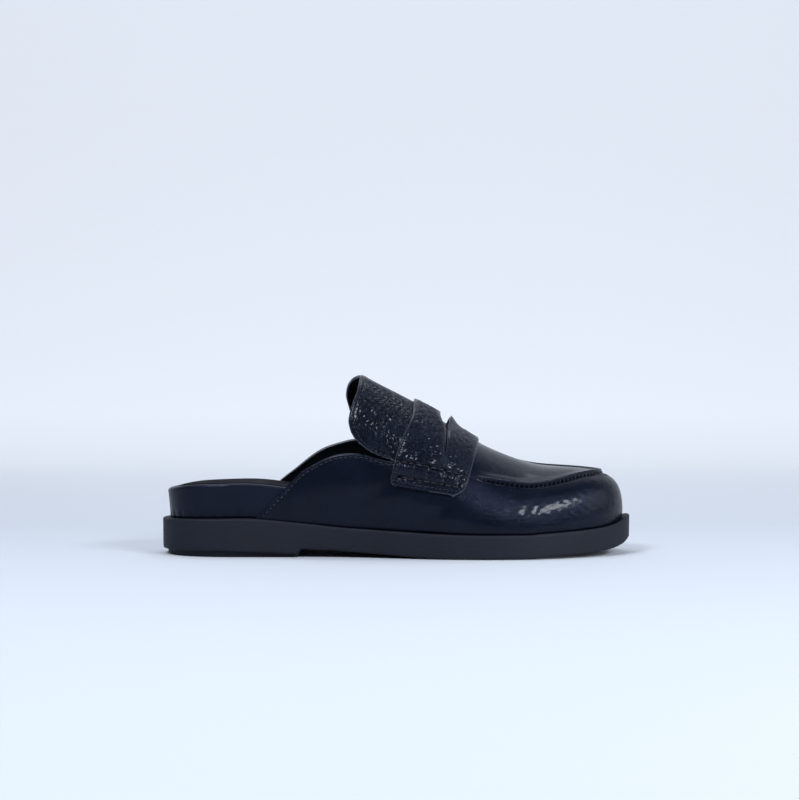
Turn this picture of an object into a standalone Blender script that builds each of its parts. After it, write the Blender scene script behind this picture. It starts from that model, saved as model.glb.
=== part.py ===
"""Loafer mule, the right shoe of a pair: leather vamp and quarters with a raised
moc-toe seam, a wide tongue and a saddle strap, on a thick footbed and a rubber unit sole.

Frame: metres, +X to the toe, +Y to the inner (medial) side, +Z up. The origin is on the
floor, in the middle of the outsole's plan. The shoe stands on its heel and forefoot.
"""
import functools
import math

import bmesh
import bpy
import numpy as np

MM = 0.001

# Outsole
SOLE_LENGTH = 270.0 * MM
BALL_WIDTH = 98.0 * MM
SEAT_WIDTH = 67.5 * MM
HEEL_HEIGHT = 20.8 * MM
FOREPART_THICKNESS = 13.3 * MM
WAIST_LIFT = 4.5 * MM
TOE_SPRING = 8.8 * MM
HEEL_LIFT_HEIGHT = 3.4 * MM
HEEL_LIFT_INSET = 3.0 * MM
SOLE_EDGE = 0.9 * MM

# Footbed and insole
FOOTBED_HEIGHT = 19.2 * MM
FOREPART_BED_HEIGHT = 5.6 * MM
FOOTBED_INSET = 5.9 * MM
FOOTBED_FLARE = 1.4 * MM
RIM_RADIUS = 1.7 * MM
CUP_DEPTH = 3.4 * MM
INSOLE_THICKNESS = 1.2 * MM

# Upper
TOE_BOX_HEIGHT = 49.8 * MM
INSTEP_HEIGHT = 85.5 * MM
COLLAR_HEIGHT = 58.2 * MM
FEATHER_INSET = 4.0 * MM
UPPER_WALL = 1.7 * MM
SEAM_RAISE = 1.5 * MM
SEAM_GROOVE = 0.5 * MM

# Tongue and strap
TONGUE_WALL = 1.5 * MM
STRAP_WALL = 1.8 * MM
STRAP_WIDTH = 38.0 * MM
SLOT_WIDTH = 6.5 * MM
SLOT_LENGTH = 36.0 * MM

GAP = 0.3 * MM

# Plan of the sole, from the heel's back to the toe tip.
# (share of the length, outer half width, inner half width), as shares of the local width
OUTLINE = (
    (0.015, 0.232, 0.232),
    (0.060, 0.412, 0.412),
    (0.130, 0.498, 0.496),
    (0.220, 0.502, 0.488),
    (0.330, 0.482, 0.462),
    (0.450, 0.452, 0.420),
    (0.550, 0.470, 0.442),
    (0.650, 0.492, 0.490),
    (0.730, 0.492, 0.514),
    (0.800, 0.460, 0.505),
    (0.880, 0.372, 0.440),
    (0.940, 0.268, 0.346),
    (0.980, 0.140, 0.222),
)
TOE_POINT_SHARE = 0.040

# (share of the length, share of the step from forepart thickness to heel height)
SOLE_RISE = (
    (0.000, 0.94), (0.022, 1.00), (0.110, 1.06), (0.193, 1.12), (0.226, 1.06), (0.270, 0.86),
    (0.315, 0.76), (0.345, 0.58), (0.407, 0.40), (0.474, 0.27), (0.544, 0.14), (0.611, 0.04),
    (0.670, 0.00), (1.000, 0.00),
)
# (share of the length, share of the waist lift): the heel breast is the first step
WAIST = (
    (0.000, 0.00), (0.2926, 0.00), (0.3019, 1.00), (0.352, 0.93), (0.407, 0.66), (0.463, 0.44),
    (0.519, 0.22), (0.574, 0.00), (1.000, 0.00),
)
# (share of the length, share of the toe spring)
SPRING = (
    (0.000, 0.00), (0.770, 0.00), (0.800, 0.07), (0.830, 0.12), (0.874, 0.19), (0.915, 0.29),
    (0.937, 0.36), (0.959, 0.48), (0.981, 0.70), (1.000, 1.00),
)
# (share of the length, share of the heel lift's step in the side)
LIFT_STEP = ((0.000, 0.95), (0.137, 1.10), (0.226, 0.80), (0.2926, 0.55), (0.3019, 0.10), (1.000, 0.10))

# (share of the length, share of the footbed's heel height above the forepart's)
BED_RISE = (
    (0.000, 0.75), (0.060, 0.97), (0.185, 1.00), (0.270, 0.96), (0.360, 0.80), (0.450, 0.56),
    (0.560, 0.28), (0.680, 0.06), (0.760, 0.00), (1.000, 0.00),
)

# The ridge of the upper, (share of the length, share of the step from toe box to instep)
RIDGE = (
    (0.170, 1.46), (0.390, 1.46), (0.424, 1.430), (0.436, 1.382), (0.4815, 1.202), (0.5333, 1.000),
    (0.563, 0.880), (0.593, 0.752), (0.648, 0.512), (0.676, 0.385), (0.705, 0.276), (0.759, 0.115),
    (0.796, 0.036), (0.833, 0.000), (0.870, -0.012),
)
FAN_START_SHARE = 0.681
FAN_REACH_SHARE = 0.152
SPINE_SHIFT_SHARE = 0.020

# Cross sections of the upper: each rib rises from the feather edge and turns in to the ridge.
# (share of the length, lean outwards as a share of the ball width, pull upwards, pull across)
OUTER_RIBS = (
    (0.200, 0.006, 0.600, 0.620), (0.270, 0.016, 0.620, 0.620), (0.370, 0.062, 0.650, 0.620),
    (0.520, 0.080, 0.620, 0.620), (0.648, 0.030, 0.540, 0.540), (0.740, 0.016, 0.520, 0.520),
    (0.850, 0.014, 0.660, 0.660), (0.940, 0.012, 0.820, 0.820), (0.986, 0.008, 0.880, 0.850),
)
INNER_RIBS = (
    (0.160, 0.006, 0.600, 0.620), (0.270, 0.020, 0.640, 0.620), (0.370, 0.050, 0.660, 0.640),
    (0.520, 0.052, 0.680, 0.640), (0.648, 0.030, 0.760, 0.660), (0.740, 0.020, 0.820, 0.700),
    (0.850, 0.018, 0.880, 0.780), (0.940, 0.012, 0.900, 0.840), (0.986, 0.008, 0.880, 0.850),
)
# Collar line of each quarter, (share of the length, share of the collar height).
# Past the last row the line climbs to the throat, under tongue and strap.
OUTER_COLLAR = (
    (0.207, 0.372), (0.237, 0.515), (0.270, 0.670), (0.300, 0.813), (0.322, 0.880), (0.352, 0.952),
    (0.374, 0.985), (0.404, 1.000), (0.444, 0.978), (0.489, 0.936), (0.515, 0.990), (0.540, 1.160),
)
INNER_COLLAR = (
    (0.180, 0.372), (0.215, 0.560), (0.248, 0.716), (0.274, 0.809), (0.307, 0.933), (0.341, 1.031),
    (0.374, 1.082), (0.400, 1.113), (0.444, 1.100), (0.489, 1.060), (0.515, 1.100), (0.540, 1.220),
)
THROAT_SHARE = 0.556

# Distance of the moc seam in from the feather edge, (share of the length, outer, inner),
# as shares of the ball width
SEAM_PLACE = (
    (0.560, 0.110, 0.190), (0.650, 0.100, 0.195), (0.740, 0.115, 0.195), (0.830, 0.105, 0.185),
    (0.900, 0.110, 0.160), (0.950, 0.118, 0.135), (0.986, 0.122, 0.122),
)
SEAM_START_SHARE = 0.655
SEAM_FULL_SHARE = 0.700
# Rows of the seam's step, (distance from the seam line, share of the raise, share of the groove)
SEAM_ROWS = (
    (-3.2 * MM, 0.0, 0.0), (-1.7 * MM, 0.0, -0.5), (-0.6 * MM, 0.0, -1.0), (0.3 * MM, 0.75, 0.0),
    (1.3 * MM, 1.0, 0.0), (2.4 * MM, 0.55, 0.0), (3.8 * MM, 0.0, 0.0),
)

# Plain rows of the upper's grid under and over the seam
WALL_ROWS = 4
APRON_ROWS = 3

# Rear edge of the tongue, (share of the height from floor to ridge, share of the length) per side
TONGUE_REAR_OUTER = (
    (0.00, 0.486), (0.06, 0.474), (0.14, 0.446), (0.24, 0.420), (0.36, 0.405), (0.48, 0.4005),
    (0.64, 0.404), (0.80, 0.412), (0.90, 0.4185), (1.00, 0.4225),
)
TONGUE_REAR_INNER = (
    (0.00, 0.486), (0.06, 0.470), (0.14, 0.440), (0.24, 0.410), (0.36, 0.394), (0.48, 0.388),
    (0.64, 0.394), (0.80, 0.406), (0.90, 0.4155), (1.00, 0.4225),
)
TONGUE_FRONT_SHARE = 0.575
TONGUE_LOW_HEIGHT = 53.0 * MM
TONGUE_LOW_HEIGHT_INNER = 58.0 * MM

# Strap: edges as (share of the way from the lower end to the ridge, share of the length)
STRAP_REAR = (
    (0.00, 0.4840), (0.12, 0.4905), (0.25, 0.4985), (0.45, 0.5090), (0.65, 0.5250), (0.82, 0.5350),
    (1.00, 0.5390),
)
STRAP_FLARE = ((0.00, 1.17), (0.25, 1.15), (0.50, 1.12), (0.75, 1.04), (1.00, 1.00))
STRAP_LOW_REAR = 42.0 * MM
STRAP_LOW_FRONT = 34.0 * MM
STRAP_LOW_RISE_INNER = 4.0 * MM
STRAP_CORNER = 7.0 * MM

OUTER = -1.0
INNER = 1.0


def steady(table, column, at):
    """Cubic through a table that never overshoots: the slope at a knot is the harmonic mean
    of its two neighbours' slopes, or level at a turn."""
    rows = np.array(table)
    knots, values = rows[:, 0], rows[:, column]
    gaps = np.diff(knots)
    rates = np.diff(values) / gaps
    slopes = np.zeros(len(knots))
    same = rates[:-1] * rates[1:] > 0.0
    slopes[1:-1][same] = 2.0 * rates[:-1][same] * rates[1:][same] / (rates[:-1] + rates[1:])[same]
    place = np.clip(at, knots[0], knots[-1])
    k = np.clip(np.searchsorted(knots, place, side="right") - 1, 0, len(gaps) - 1)
    f = (place - knots[k]) / gaps[k]
    rise = values[k + 1] - values[k]
    return (values[k] + slopes[k] * gaps[k] * f * (1.0 - f) ** 2 + rise * f * f * (3.0 - 2.0 * f)
            - slopes[k + 1] * gaps[k] * f * f * (1.0 - f))


def spline(knots, values, at):
    """Natural cubic spline: the smoothest line through the points, bending evenly at each knot."""
    gaps = np.diff(knots)
    rates = np.diff(values) / gaps
    count = len(knots)
    system = np.eye(count)
    right = np.zeros(count)
    for k in range(1, count - 1):
        system[k, k - 1:k + 2] = gaps[k - 1], 2.0 * (gaps[k - 1] + gaps[k]), gaps[k]
        right[k] = 6.0 * (rates[k] - rates[k - 1])
    bends = np.linalg.solve(system, right)
    place = np.clip(at, knots[0], knots[-1])
    k = np.clip(np.searchsorted(knots, place, side="right") - 1, 0, count - 2)
    past, left, gap = place - knots[k], knots[k + 1] - place, gaps[k]
    return (bends[k] * left ** 3 / (6.0 * gap) + bends[k + 1] * past ** 3 / (6.0 * gap)
            + (values[k] / gap - bends[k] * gap / 6.0) * left
            + (values[k + 1] / gap - bends[k + 1] * gap / 6.0) * past)


def ramp(at, start, end):
    """Smooth step from 0 at start to 1 at end."""
    f = np.clip((at - start) / (end - start), 0.0, 1.0)
    return f * f * (3.0 - 2.0 * f)


def outline(turns):
    """Plan of the sole. A turn runs from 0 at the heel's back over pi at the toe tip, outer side
    first, and the length goes with its cosine, which rounds both ends."""
    rows = np.array(OUTLINE)
    half = np.arccos(1.0 - 2.0 * rows[:, 0])
    width = SEAT_WIDTH + (BALL_WIDTH - SEAT_WIDTH) * ramp(rows[:, 0], 0.26, 0.64)
    knots = np.concatenate(((0.0,), half, (math.pi,), 2.0 * math.pi - half[::-1]))
    values = np.concatenate(((0.0,), -rows[:, 1] * width, (TOE_POINT_SHARE * BALL_WIDTH,),
                             (rows[:, 2] * width)[::-1]))
    lap = 2.0 * math.pi
    knots = np.concatenate((knots - lap, knots, knots + lap))
    y = spline(knots, np.tile(values, 3), np.mod(turns, lap))
    x = SOLE_LENGTH * (1.0 - np.cos(turns)) / 2.0
    return np.stack((x, y), axis=-1)


def inset_outline(turns, inset):
    """The plan moved inwards along its own normal by the inset."""
    step = 1e-4
    travel = outline(turns + step) - outline(turns - step)
    travel /= np.linalg.norm(travel, axis=-1, keepdims=True)
    inward = np.stack((-travel[:, 1], travel[:, 0]), axis=-1)
    return outline(turns) + inward * np.asarray(inset).reshape(-1, 1)


def floor_height(x):
    """Underside of the sole: flat heel and forefoot, raised waist, toe spring."""
    share = x / SOLE_LENGTH
    rows = np.array(WAIST)
    return WAIST_LIFT * np.interp(share, rows[:, 0], rows[:, 1]) + TOE_SPRING * steady(SPRING, 1, share)


def sole_top(x):
    """Top of the outsole, on which upper and footbed stand."""
    share = x / SOLE_LENGTH
    rise = (HEEL_HEIGHT - FOREPART_THICKNESS) * steady(SOLE_RISE, 1, share)
    return FOREPART_THICKNESS + rise + TOE_SPRING * steady(SPRING, 1, share)


def rim_height(x):
    """Top of the footbed's rim."""
    share = x / SOLE_LENGTH
    rise = (FOOTBED_HEIGHT - FOREPART_BED_HEIGHT) * steady(BED_RISE, 1, share)
    return sole_top(x) + GAP + FOREPART_BED_HEIGHT + rise


def bed_height(x, inset):
    """Cupped top of the footbed: it falls from the rim to the middle, most at the heel."""
    depth = CUP_DEPTH * (1.0 - 0.72 * ramp(x / SOLE_LENGTH, 0.30, 0.70))
    reach = ramp(inset, FOOTBED_INSET + RIM_RADIUS, 0.34 * SEAT_WIDTH)
    return rim_height(x) - depth * (0.25 * ramp(inset, FOOTBED_INSET, FOOTBED_INSET + 2.5 * RIM_RADIUS)
                                    + 0.75 * reach)


def footbed_flare(x):
    """Outward lean of the footbed's wall at its top: none where the upper lies against it."""
    return FOOTBED_FLARE * (1.0 - ramp(x / SOLE_LENGTH, 0.140, 0.200))


def even_turns(count):
    """Turns with the same places on both sides, with the heel breast's two stations added."""
    half = np.linspace(0.0, math.pi, count + 1)[1:-1]
    breast = np.arccos(1.0 - 2.0 * np.array((WAIST[1][0], WAIST[2][0])))
    near = np.abs(half[:, None] - breast[None, :]).min(axis=1)
    half = np.sort(np.concatenate((half[near > 0.35 * math.pi / count], breast)))
    return np.concatenate(((0.0,), half, (math.pi,), 2.0 * math.pi - half[::-1]))


def ring(turns, inset, height):
    """One closed loop of a sole piece: an inset plan at a height worked out from its x."""
    plan = inset_outline(turns, inset)
    return np.column_stack((plan, height(plan[:, 0])))


def material(name, colour, roughness):
    """Plain stand-in finish for one piece."""
    made = bpy.data.materials.new(name)
    made.use_nodes = True
    shader = made.node_tree.nodes["Principled BSDF"]
    shader.inputs["Base Color"].default_value = (*colour, 1.0)
    shader.inputs["Roughness"].default_value = roughness
    shader.inputs["Metallic"].default_value = 0.0
    return made


def add_mesh(name, points, faces, finish, closed=True):
    """Object from points in the drawing frame: moves the origin to the middle of the plan.
    A skin that gets its wall later already has its faces pointing out."""
    mesh = bpy.data.meshes.new(name)
    shifted = np.array(points) - plan_middle()
    mesh.from_pydata([tuple(p) for p in shifted], [], faces)
    work = bmesh.new()
    work.from_mesh(mesh)
    bmesh.ops.remove_doubles(work, verts=work.verts, dist=0.01 * MM)
    if closed:
        bmesh.ops.recalc_face_normals(work, faces=work.faces)
    work.to_mesh(mesh)
    work.free()
    mesh.shade_smooth()
    mesh.set_sharp_from_angle(angle=math.radians(40.0))
    mesh.materials.append(finish)
    made = bpy.data.objects.new(name, mesh)
    bpy.context.scene.collection.objects.link(made)
    return made


def plan_middle():
    """Middle of the outsole's plan, which becomes the origin."""
    plan = outline(np.linspace(0.0, 2.0 * math.pi, 721))
    middle = (plan.min(axis=0) + plan.max(axis=0)) / 2.0
    return np.array((middle[0], middle[1], 0.0))


def add_loft(name, rings, finish):
    """Closed solid through rings listed from the top middle outwards, down and in again.
    The two ends are capped straight across, from each outer point to its inner twin."""
    count = len(rings[0])
    faces = []
    for k in range(len(rings) - 1):
        for i in range(count):
            j = (i + 1) % count
            faces.append((k * count + i, (k + 1) * count + i, (k + 1) * count + j, k * count + j))
    last = (len(rings) - 1) * count
    for first, turned in ((0, False), (last, True)):
        for i in range(count // 2):
            cap = [i, i + 1, count - i - 1, (count - i) % count]
            cap = [first + c for c in dict.fromkeys(cap)]
            faces.append(tuple(reversed(cap)) if turned else tuple(cap))
    return add_mesh(name, np.concatenate(rings), faces, finish)


def add_outsole():
    """Rubber unit sole: straight wall, small heel lift set in under it, waist and toe spring."""
    turns = even_turns(50)

    def side_end(x):
        return floor_height(x) + HEEL_LIFT_HEIGHT * np.interp(
            x / SOLE_LENGTH, [row[0] for row in LIFT_STEP], [row[1] for row in LIFT_STEP])

    rings = [
        ring(turns, SOLE_EDGE, sole_top),
        ring(turns, 0.25 * SOLE_EDGE, lambda x: sole_top(x) - 0.3 * SOLE_EDGE),
        ring(turns, 0.0, lambda x: sole_top(x) - SOLE_EDGE),
        ring(turns, 0.2 * SOLE_EDGE, lambda x: side_end(x) + SOLE_EDGE),
        ring(turns, SOLE_EDGE, side_end),
        ring(turns, HEEL_LIFT_INSET, lambda x: np.maximum(side_end(x) - 0.1 * MM, floor_height(x))),
        ring(turns, HEEL_LIFT_INSET + 0.5 * SOLE_EDGE, floor_height),
    ]
    return add_loft("outsole", rings, material("moulded_rubber", (0.028, 0.031, 0.037), 0.62))


def add_footbed():
    """Thick wrapped midsole with a rounded rim and a cupped top."""
    turns = even_turns(38)
    x = outline(turns)[:, 0]
    flare = footbed_flare(x)
    rim = FOOTBED_INSET - flare

    def low(y):
        return sole_top(y) + GAP

    rings = [
        ring(turns, 0.34 * SEAT_WIDTH, lambda y: bed_height(y, 0.34 * SEAT_WIDTH)),
        ring(turns, 0.24 * SEAT_WIDTH, lambda y: bed_height(y, 0.24 * SEAT_WIDTH)),
        ring(turns, 0.16 * SEAT_WIDTH, lambda y: bed_height(y, 0.16 * SEAT_WIDTH)),
        ring(turns, rim + 1.7 * RIM_RADIUS, lambda y: bed_height(y, FOOTBED_INSET + 1.7 * RIM_RADIUS)),
        ring(turns, rim + RIM_RADIUS, rim_height),
        ring(turns, rim + 0.3 * RIM_RADIUS, lambda y: rim_height(y) - 0.3 * RIM_RADIUS),
        ring(turns, rim, lambda y: rim_height(y) - RIM_RADIUS),
        ring(turns, FOOTBED_INSET - 0.55 * flare, lambda y: 0.5 * (low(y) + rim_height(y))),
        ring(turns, FOOTBED_INSET, low),
    ]
    return add_loft("footbed", rings, material("wrapped_footbed", (0.012, 0.012, 0.013), 0.45))


def add_insole():
    """Thin leather sock in the cup of the footbed."""
    turns = even_turns(28)
    edge = FOOTBED_INSET + 2.4 * RIM_RADIUS
    insets = (edge, 0.16 * SEAT_WIDTH + 0.5 * RIM_RADIUS, 0.24 * SEAT_WIDTH, 0.34 * SEAT_WIDTH)

    def face(inset, lift):
        return ring(turns, inset, lambda y: bed_height(y, inset) + lift)

    top = [face(inset, GAP + INSOLE_THICKNESS) for inset in reversed(insets)]
    under = [face(inset, GAP) for inset in insets]
    return add_loft("insole", top + under, material("insole_leather", (0.014, 0.013, 0.013), 0.5))


@functools.lru_cache(maxsize=None)
def feather_line(side):
    """Dense points of the feather edge of one side, from the heel to the toe."""
    turns = np.linspace(0.0, math.pi, 2401)
    plan = inset_outline(turns if side == OUTER else 2.0 * math.pi - turns, FEATHER_INSET)
    first, last = int(plan[:, 0].argmin()), int(plan[:, 0].argmax())
    return plan[first:last + 1]


@functools.lru_cache(maxsize=None)
def toe_reach():
    """Foremost x of the feather edge, shared by both sides."""
    turns = np.linspace(0.75 * math.pi, 1.25 * math.pi, 2401)
    return inset_outline(turns, FEATHER_INSET)[:, 0].max()


def ridge_height(x):
    """Height of the upper's ridge over the floor."""
    rows = np.array(RIDGE)
    return TOE_BOX_HEIGHT + (INSTEP_HEIGHT - TOE_BOX_HEIGHT) * spline(rows[:, 0], rows[:, 1],
                                                                     x / SOLE_LENGTH)


def rib_points(side, x, t):
    """The upper's outer face. x is where a rib stands on the feather edge and t runs from 0 there
    to 1 on the ridge. Each rib is a cubic that leaves the edge upwards, leaning out a little, and
    meets the ridge across it. Before the fan starts a rib stays in its own cross section; the
    ribs of the toe all turn towards one place on the ridge."""
    x, t = np.broadcast_arrays(np.asarray(x, float), np.asarray(t, float))
    line = feather_line(side)
    base_y = np.interp(x, line[:, 0], line[:, 1])
    base_z = sole_top(x) + GAP
    start, tip = FAN_START_SHARE * SOLE_LENGTH, toe_reach()
    past = np.clip((x - start) / (tip - start), 0.0, 1.0)
    spine_x = x - FAN_REACH_SHARE * SOLE_LENGTH * past * past
    spine_y = SPINE_SHIFT_SHARE * BALL_WIDTH * past
    spine_z = ridge_height(spine_x)
    slope = (ridge_height(spine_x + MM) - ridge_height(spine_x - MM)) / (2.0 * MM)
    away_x, away_y = x - spine_x, base_y - spine_y
    reach = np.hypot(away_x, away_y)
    table = OUTER_RIBS if side == OUTER else INNER_RIBS
    share = x / SOLE_LENGTH
    lean = BALL_WIDTH * steady(table, 1, share) / reach
    up = steady(table, 2, share) * (spine_z - base_z)
    across = steady(table, 3, share)
    base = np.stack((x, base_y, base_z), axis=-1)
    wall = np.stack((x + lean * away_x, base_y + lean * away_y, base_z + up), axis=-1)
    crown = np.stack((spine_x + across * away_x, spine_y + across * away_y,
                      spine_z + slope * across * away_x), axis=-1)
    spine = np.stack((spine_x, spine_y, spine_z), axis=-1)
    t = t[..., None]
    return (base * (1.0 - t) ** 3 + 3.0 * wall * t * (1.0 - t) ** 2 + 3.0 * crown * t * t * (1.0 - t)
            + spine * t ** 3)


def face_direction(side, x, t):
    """Outward direction of one side of the upper's face, from two short steps on it."""
    step_x, step_t = 0.2 * MM, 1e-3
    ahead = np.minimum(x + step_x, toe_reach())
    along = rib_points(side, ahead, t) - rib_points(side, ahead - 2.0 * step_x, t)
    high = np.minimum(t + step_t, 1.0)
    upward = rib_points(side, x, high) - rib_points(side, x, high - 2.0 * step_t)
    outward = np.cross(along, upward) * -side
    return outward / np.linalg.norm(outward, axis=-1, keepdims=True)


def rib_outward(side, x, t):
    """Outward direction of the upper's face, the mean of both sides on the ridge they share."""
    x, t = np.broadcast_arrays(np.asarray(x, float), np.asarray(t, float))
    own = face_direction(side, x, t)
    shared = own + face_direction(-side, x, t)
    shared /= np.linalg.norm(shared, axis=-1, keepdims=True)
    return np.where(t[..., None] > 1.0 - 1e-9, shared, own)


def t_at_height(side, x, height):
    """Where a rib reaches a height over the floor; 1 above the ridge."""
    dense = np.linspace(0.0, 1.0, 161)
    found = []
    for station, wanted in zip(np.atleast_1d(x), np.broadcast_to(height, np.shape(np.atleast_1d(x)))):
        found.append(np.interp(wanted, rib_points(side, station, dense)[:, 2], dense))
    return np.array(found)


def collar_t(side, x):
    """Top of each rib of the upper: the collar line, or the ridge in front of the throat."""
    table = OUTER_COLLAR if side == OUTER else INNER_COLLAR
    share = x / SOLE_LENGTH
    low = t_at_height(side, x, COLLAR_HEIGHT * steady(table, 1, share))
    return low + (1.0 - low) * ramp(share, table[-1][0], THROAT_SHARE) ** 0.7 if share.max() else low


def rib_rows(side, x, top):
    """Places of the grid's rows on one rib: even shares behind, seam rows in front."""
    dense = np.linspace(0.0, 1.0, 241)
    points = rib_points(side, x, dense)
    way = np.concatenate(((0.0,), np.cumsum(np.linalg.norm(np.diff(points, axis=0), axis=1))))
    inward = np.linalg.norm(points[:, :2] - points[-1:, :2], axis=1)
    inward = inward[0] - inward
    share = x / SOLE_LENGTH
    place = BALL_WIDTH * steady(SEAM_PLACE, 1 if side == OUTER else 2, share)
    rising = np.maximum.accumulate(inward)
    seam = np.interp(place, rising, way)
    ends = [row[0] for row in SEAM_ROWS]
    fore = np.concatenate((np.linspace(0.0, seam + ends[0], WALL_ROWS + 1)[:-1], seam + np.array(ends),
                           np.linspace(seam + ends[-1], way[-1], APRON_ROWS + 1)[1:]))
    length = np.interp(top, dense, way)
    front = ramp(share, THROAT_SHARE - 0.01, SEAM_START_SHARE)
    blend = ramp(share, 0.42, THROAT_SHARE)
    even = length * (np.linspace(0.0, 1.0, len(fore)) * (1.0 - blend) + blend * fore / fore[-1])
    return np.interp(even * (1.0 - front) + fore * front, way, dense)


def seam_lift():
    """Raise of each row: none on the plain rows, the step of the seam between them."""
    step = [SEAM_RAISE * raise_ + SEAM_GROOVE * groove for _, raise_, groove in SEAM_ROWS]
    return np.array([0.0] * WALL_ROWS + step + [0.0] * APRON_ROWS)


def rib_stations(first, count_rear, count_mid, count_toe):
    """Stations along the feather edge: rear to throat, throat to fan, then the fan, closer
    together towards the toe tip."""
    throat, fan = THROAT_SHARE * SOLE_LENGTH, FAN_START_SHARE * SOLE_LENGTH
    rear = np.linspace(first * SOLE_LENGTH, throat, count_rear, endpoint=False)
    middle = np.linspace(throat, fan, count_mid, endpoint=False)
    toe = fan + (toe_reach() - fan) * np.sin(np.linspace(0.0, 0.5 * math.pi, count_toe))
    return np.concatenate((rear, middle, toe))


def grid_faces(rows, columns, start, turned):
    """Quads of a grid whose points run row by row, the other way round when turned."""
    quads = [(start + i * columns + j, start + (i + 1) * columns + j,
              start + (i + 1) * columns + j + 1, start + i * columns + j + 1)
             for i in range(rows - 1) for j in range(columns - 1)]
    return [quad[::-1] for quad in quads] if turned else quads


def thicken(made, wall):
    """Give a skin its wall, inwards from the outer face."""
    solid = made.modifiers.new("wall", "SOLIDIFY")
    solid.thickness = wall
    solid.offset = -1.0
    solid.use_even_offset = False
    return solid


def add_upper():
    """Vamp and quarters in one wall, open at the collar, the heel and underneath."""
    points, faces = [], []
    lift = seam_lift()
    for side, table in ((OUTER, OUTER_COLLAR), (INNER, INNER_COLLAR)):
        stations = rib_stations(table[0][0], 19, 8, 18)
        tops = collar_t(side, stations)
        start = sum(len(block.reshape(-1, 3)) for block in points)
        for x, top in zip(stations, tops):
            rows = rib_rows(side, x, top)
            strength = ramp(x / SOLE_LENGTH, SEAM_START_SHARE, SEAM_FULL_SHARE)
            face = rib_points(side, x, rows)
            if strength > 0.0:
                face = face + rib_outward(side, x, rows) * (strength * lift)[:, None]
            points.append(face)
        faces += grid_faces(len(stations), len(lift), start, side == INNER)
    made = add_mesh("upper", np.concatenate(points), faces,
                    material("upper_leather", (0.010, 0.010, 0.011), 0.32), closed=False)
    thicken(made, UPPER_WALL)
    return made


def over_upper(side, x, t, offset):
    """A place over the upper's face, moved out by the offset."""
    return rib_points(side, x, t) + rib_outward(side, x, t) * np.asarray(offset)[..., None]


def add_tongue():
    """Wide tongue over the throat, its rounded wings lying outside the quarters."""
    across = np.linspace(0.0, 1.0, 17)
    along = np.linspace(0.0, 1.0, 10)
    front = TONGUE_FRONT_SHARE * SOLE_LENGTH
    points, faces = [], []
    offset = GAP + TONGUE_WALL
    for side, table, low in ((OUTER, TONGUE_REAR_OUTER, TONGUE_LOW_HEIGHT),
                             (INNER, TONGUE_REAR_INNER, TONGUE_LOW_HEIGHT_INNER)):
        rear = SOLE_LENGTH * steady(table, 1, across)
        x = rear[:, None] + (front - rear)[:, None] * along[None, :]
        flat = x.ravel()
        low_t = t_at_height(side, flat, low).reshape(x.shape)
        t = low_t + (1.0 - low_t) * across[:, None]
        face = over_upper(side, x, t, np.full(x.shape, offset))
        start = sum(len(block.reshape(-1, 3)) for block in points)
        points.append(face.reshape(-1, 3))
        faces += grid_faces(len(across), len(along), start, side == OUTER)
    made = add_mesh("tongue", np.concatenate(points), faces,
                    material("tongue_leather", (0.012, 0.012, 0.013), 0.40), closed=False)
    thicken(made, TONGUE_WALL)
    return made


def strap_offset(x, z):
    """Height of the strap's inner face over the upper: over the tongue behind, on the apron and
    the quarters elsewhere."""
    share = x / SOLE_LENGTH
    over = (1.0 - ramp(share, TONGUE_FRONT_SHARE + 0.002, 0.640)) * ramp(z, 0.80 * TONGUE_LOW_HEIGHT,
                                                                         0.97 * TONGUE_LOW_HEIGHT)
    seam = SEAM_RAISE * ramp(share, SEAM_START_SHARE, SEAM_FULL_SHARE)
    return GAP + 0.1 * MM + (GAP + TONGUE_WALL) * over + seam


def add_strap():
    """Saddle strap with rounded lower corners and a penny slot cut through at the ridge."""
    down = np.concatenate((np.linspace(0.0, 0.12, 5)[:-1], np.linspace(0.12, 1.0, 14)))
    along = np.linspace(0.0, 1.0, 10)
    points, faces = [], []
    for side, rise in ((OUTER, 0.0), (INNER, STRAP_LOW_RISE_INNER)):
        rear = SOLE_LENGTH * steady(STRAP_REAR, 1, down)
        front = rear + STRAP_WIDTH * steady(STRAP_FLARE, 1, down)
        corner_share = STRAP_CORNER / (INSTEP_HEIGHT - STRAP_LOW_FRONT)
        turn = np.clip(1.0 - down / corner_share, 0.0, 1.0)
        pull = STRAP_CORNER * (1.0 - np.sqrt(1.0 - turn * turn))
        rear, front = rear + pull, front - pull
        x = rear[:, None] + (front - rear)[:, None] * along[None, :]
        fore = (x - rear.min()) / (front.max() - rear.min())
        low = STRAP_LOW_REAR + (STRAP_LOW_FRONT - STRAP_LOW_REAR) * fore + rise
        low_t = t_at_height(side, x.ravel(), low.ravel()).reshape(x.shape)
        t = low_t + (1.0 - low_t) * down[:, None]
        z = rib_points(side, x, t)[..., 2]
        face = over_upper(side, x, t, strap_offset(x, z) + STRAP_WALL)
        start = sum(len(block.reshape(-1, 3)) for block in points)
        points.append(face.reshape(-1, 3))
        faces += grid_faces(len(down), len(along), start, side == OUTER)
    made = add_mesh("saddle_strap", np.concatenate(points), faces,
                    material("strap_leather", (0.011, 0.011, 0.012), 0.34), closed=False)
    thicken(made, STRAP_WALL)
    cut_slot(made)
    return made


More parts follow.
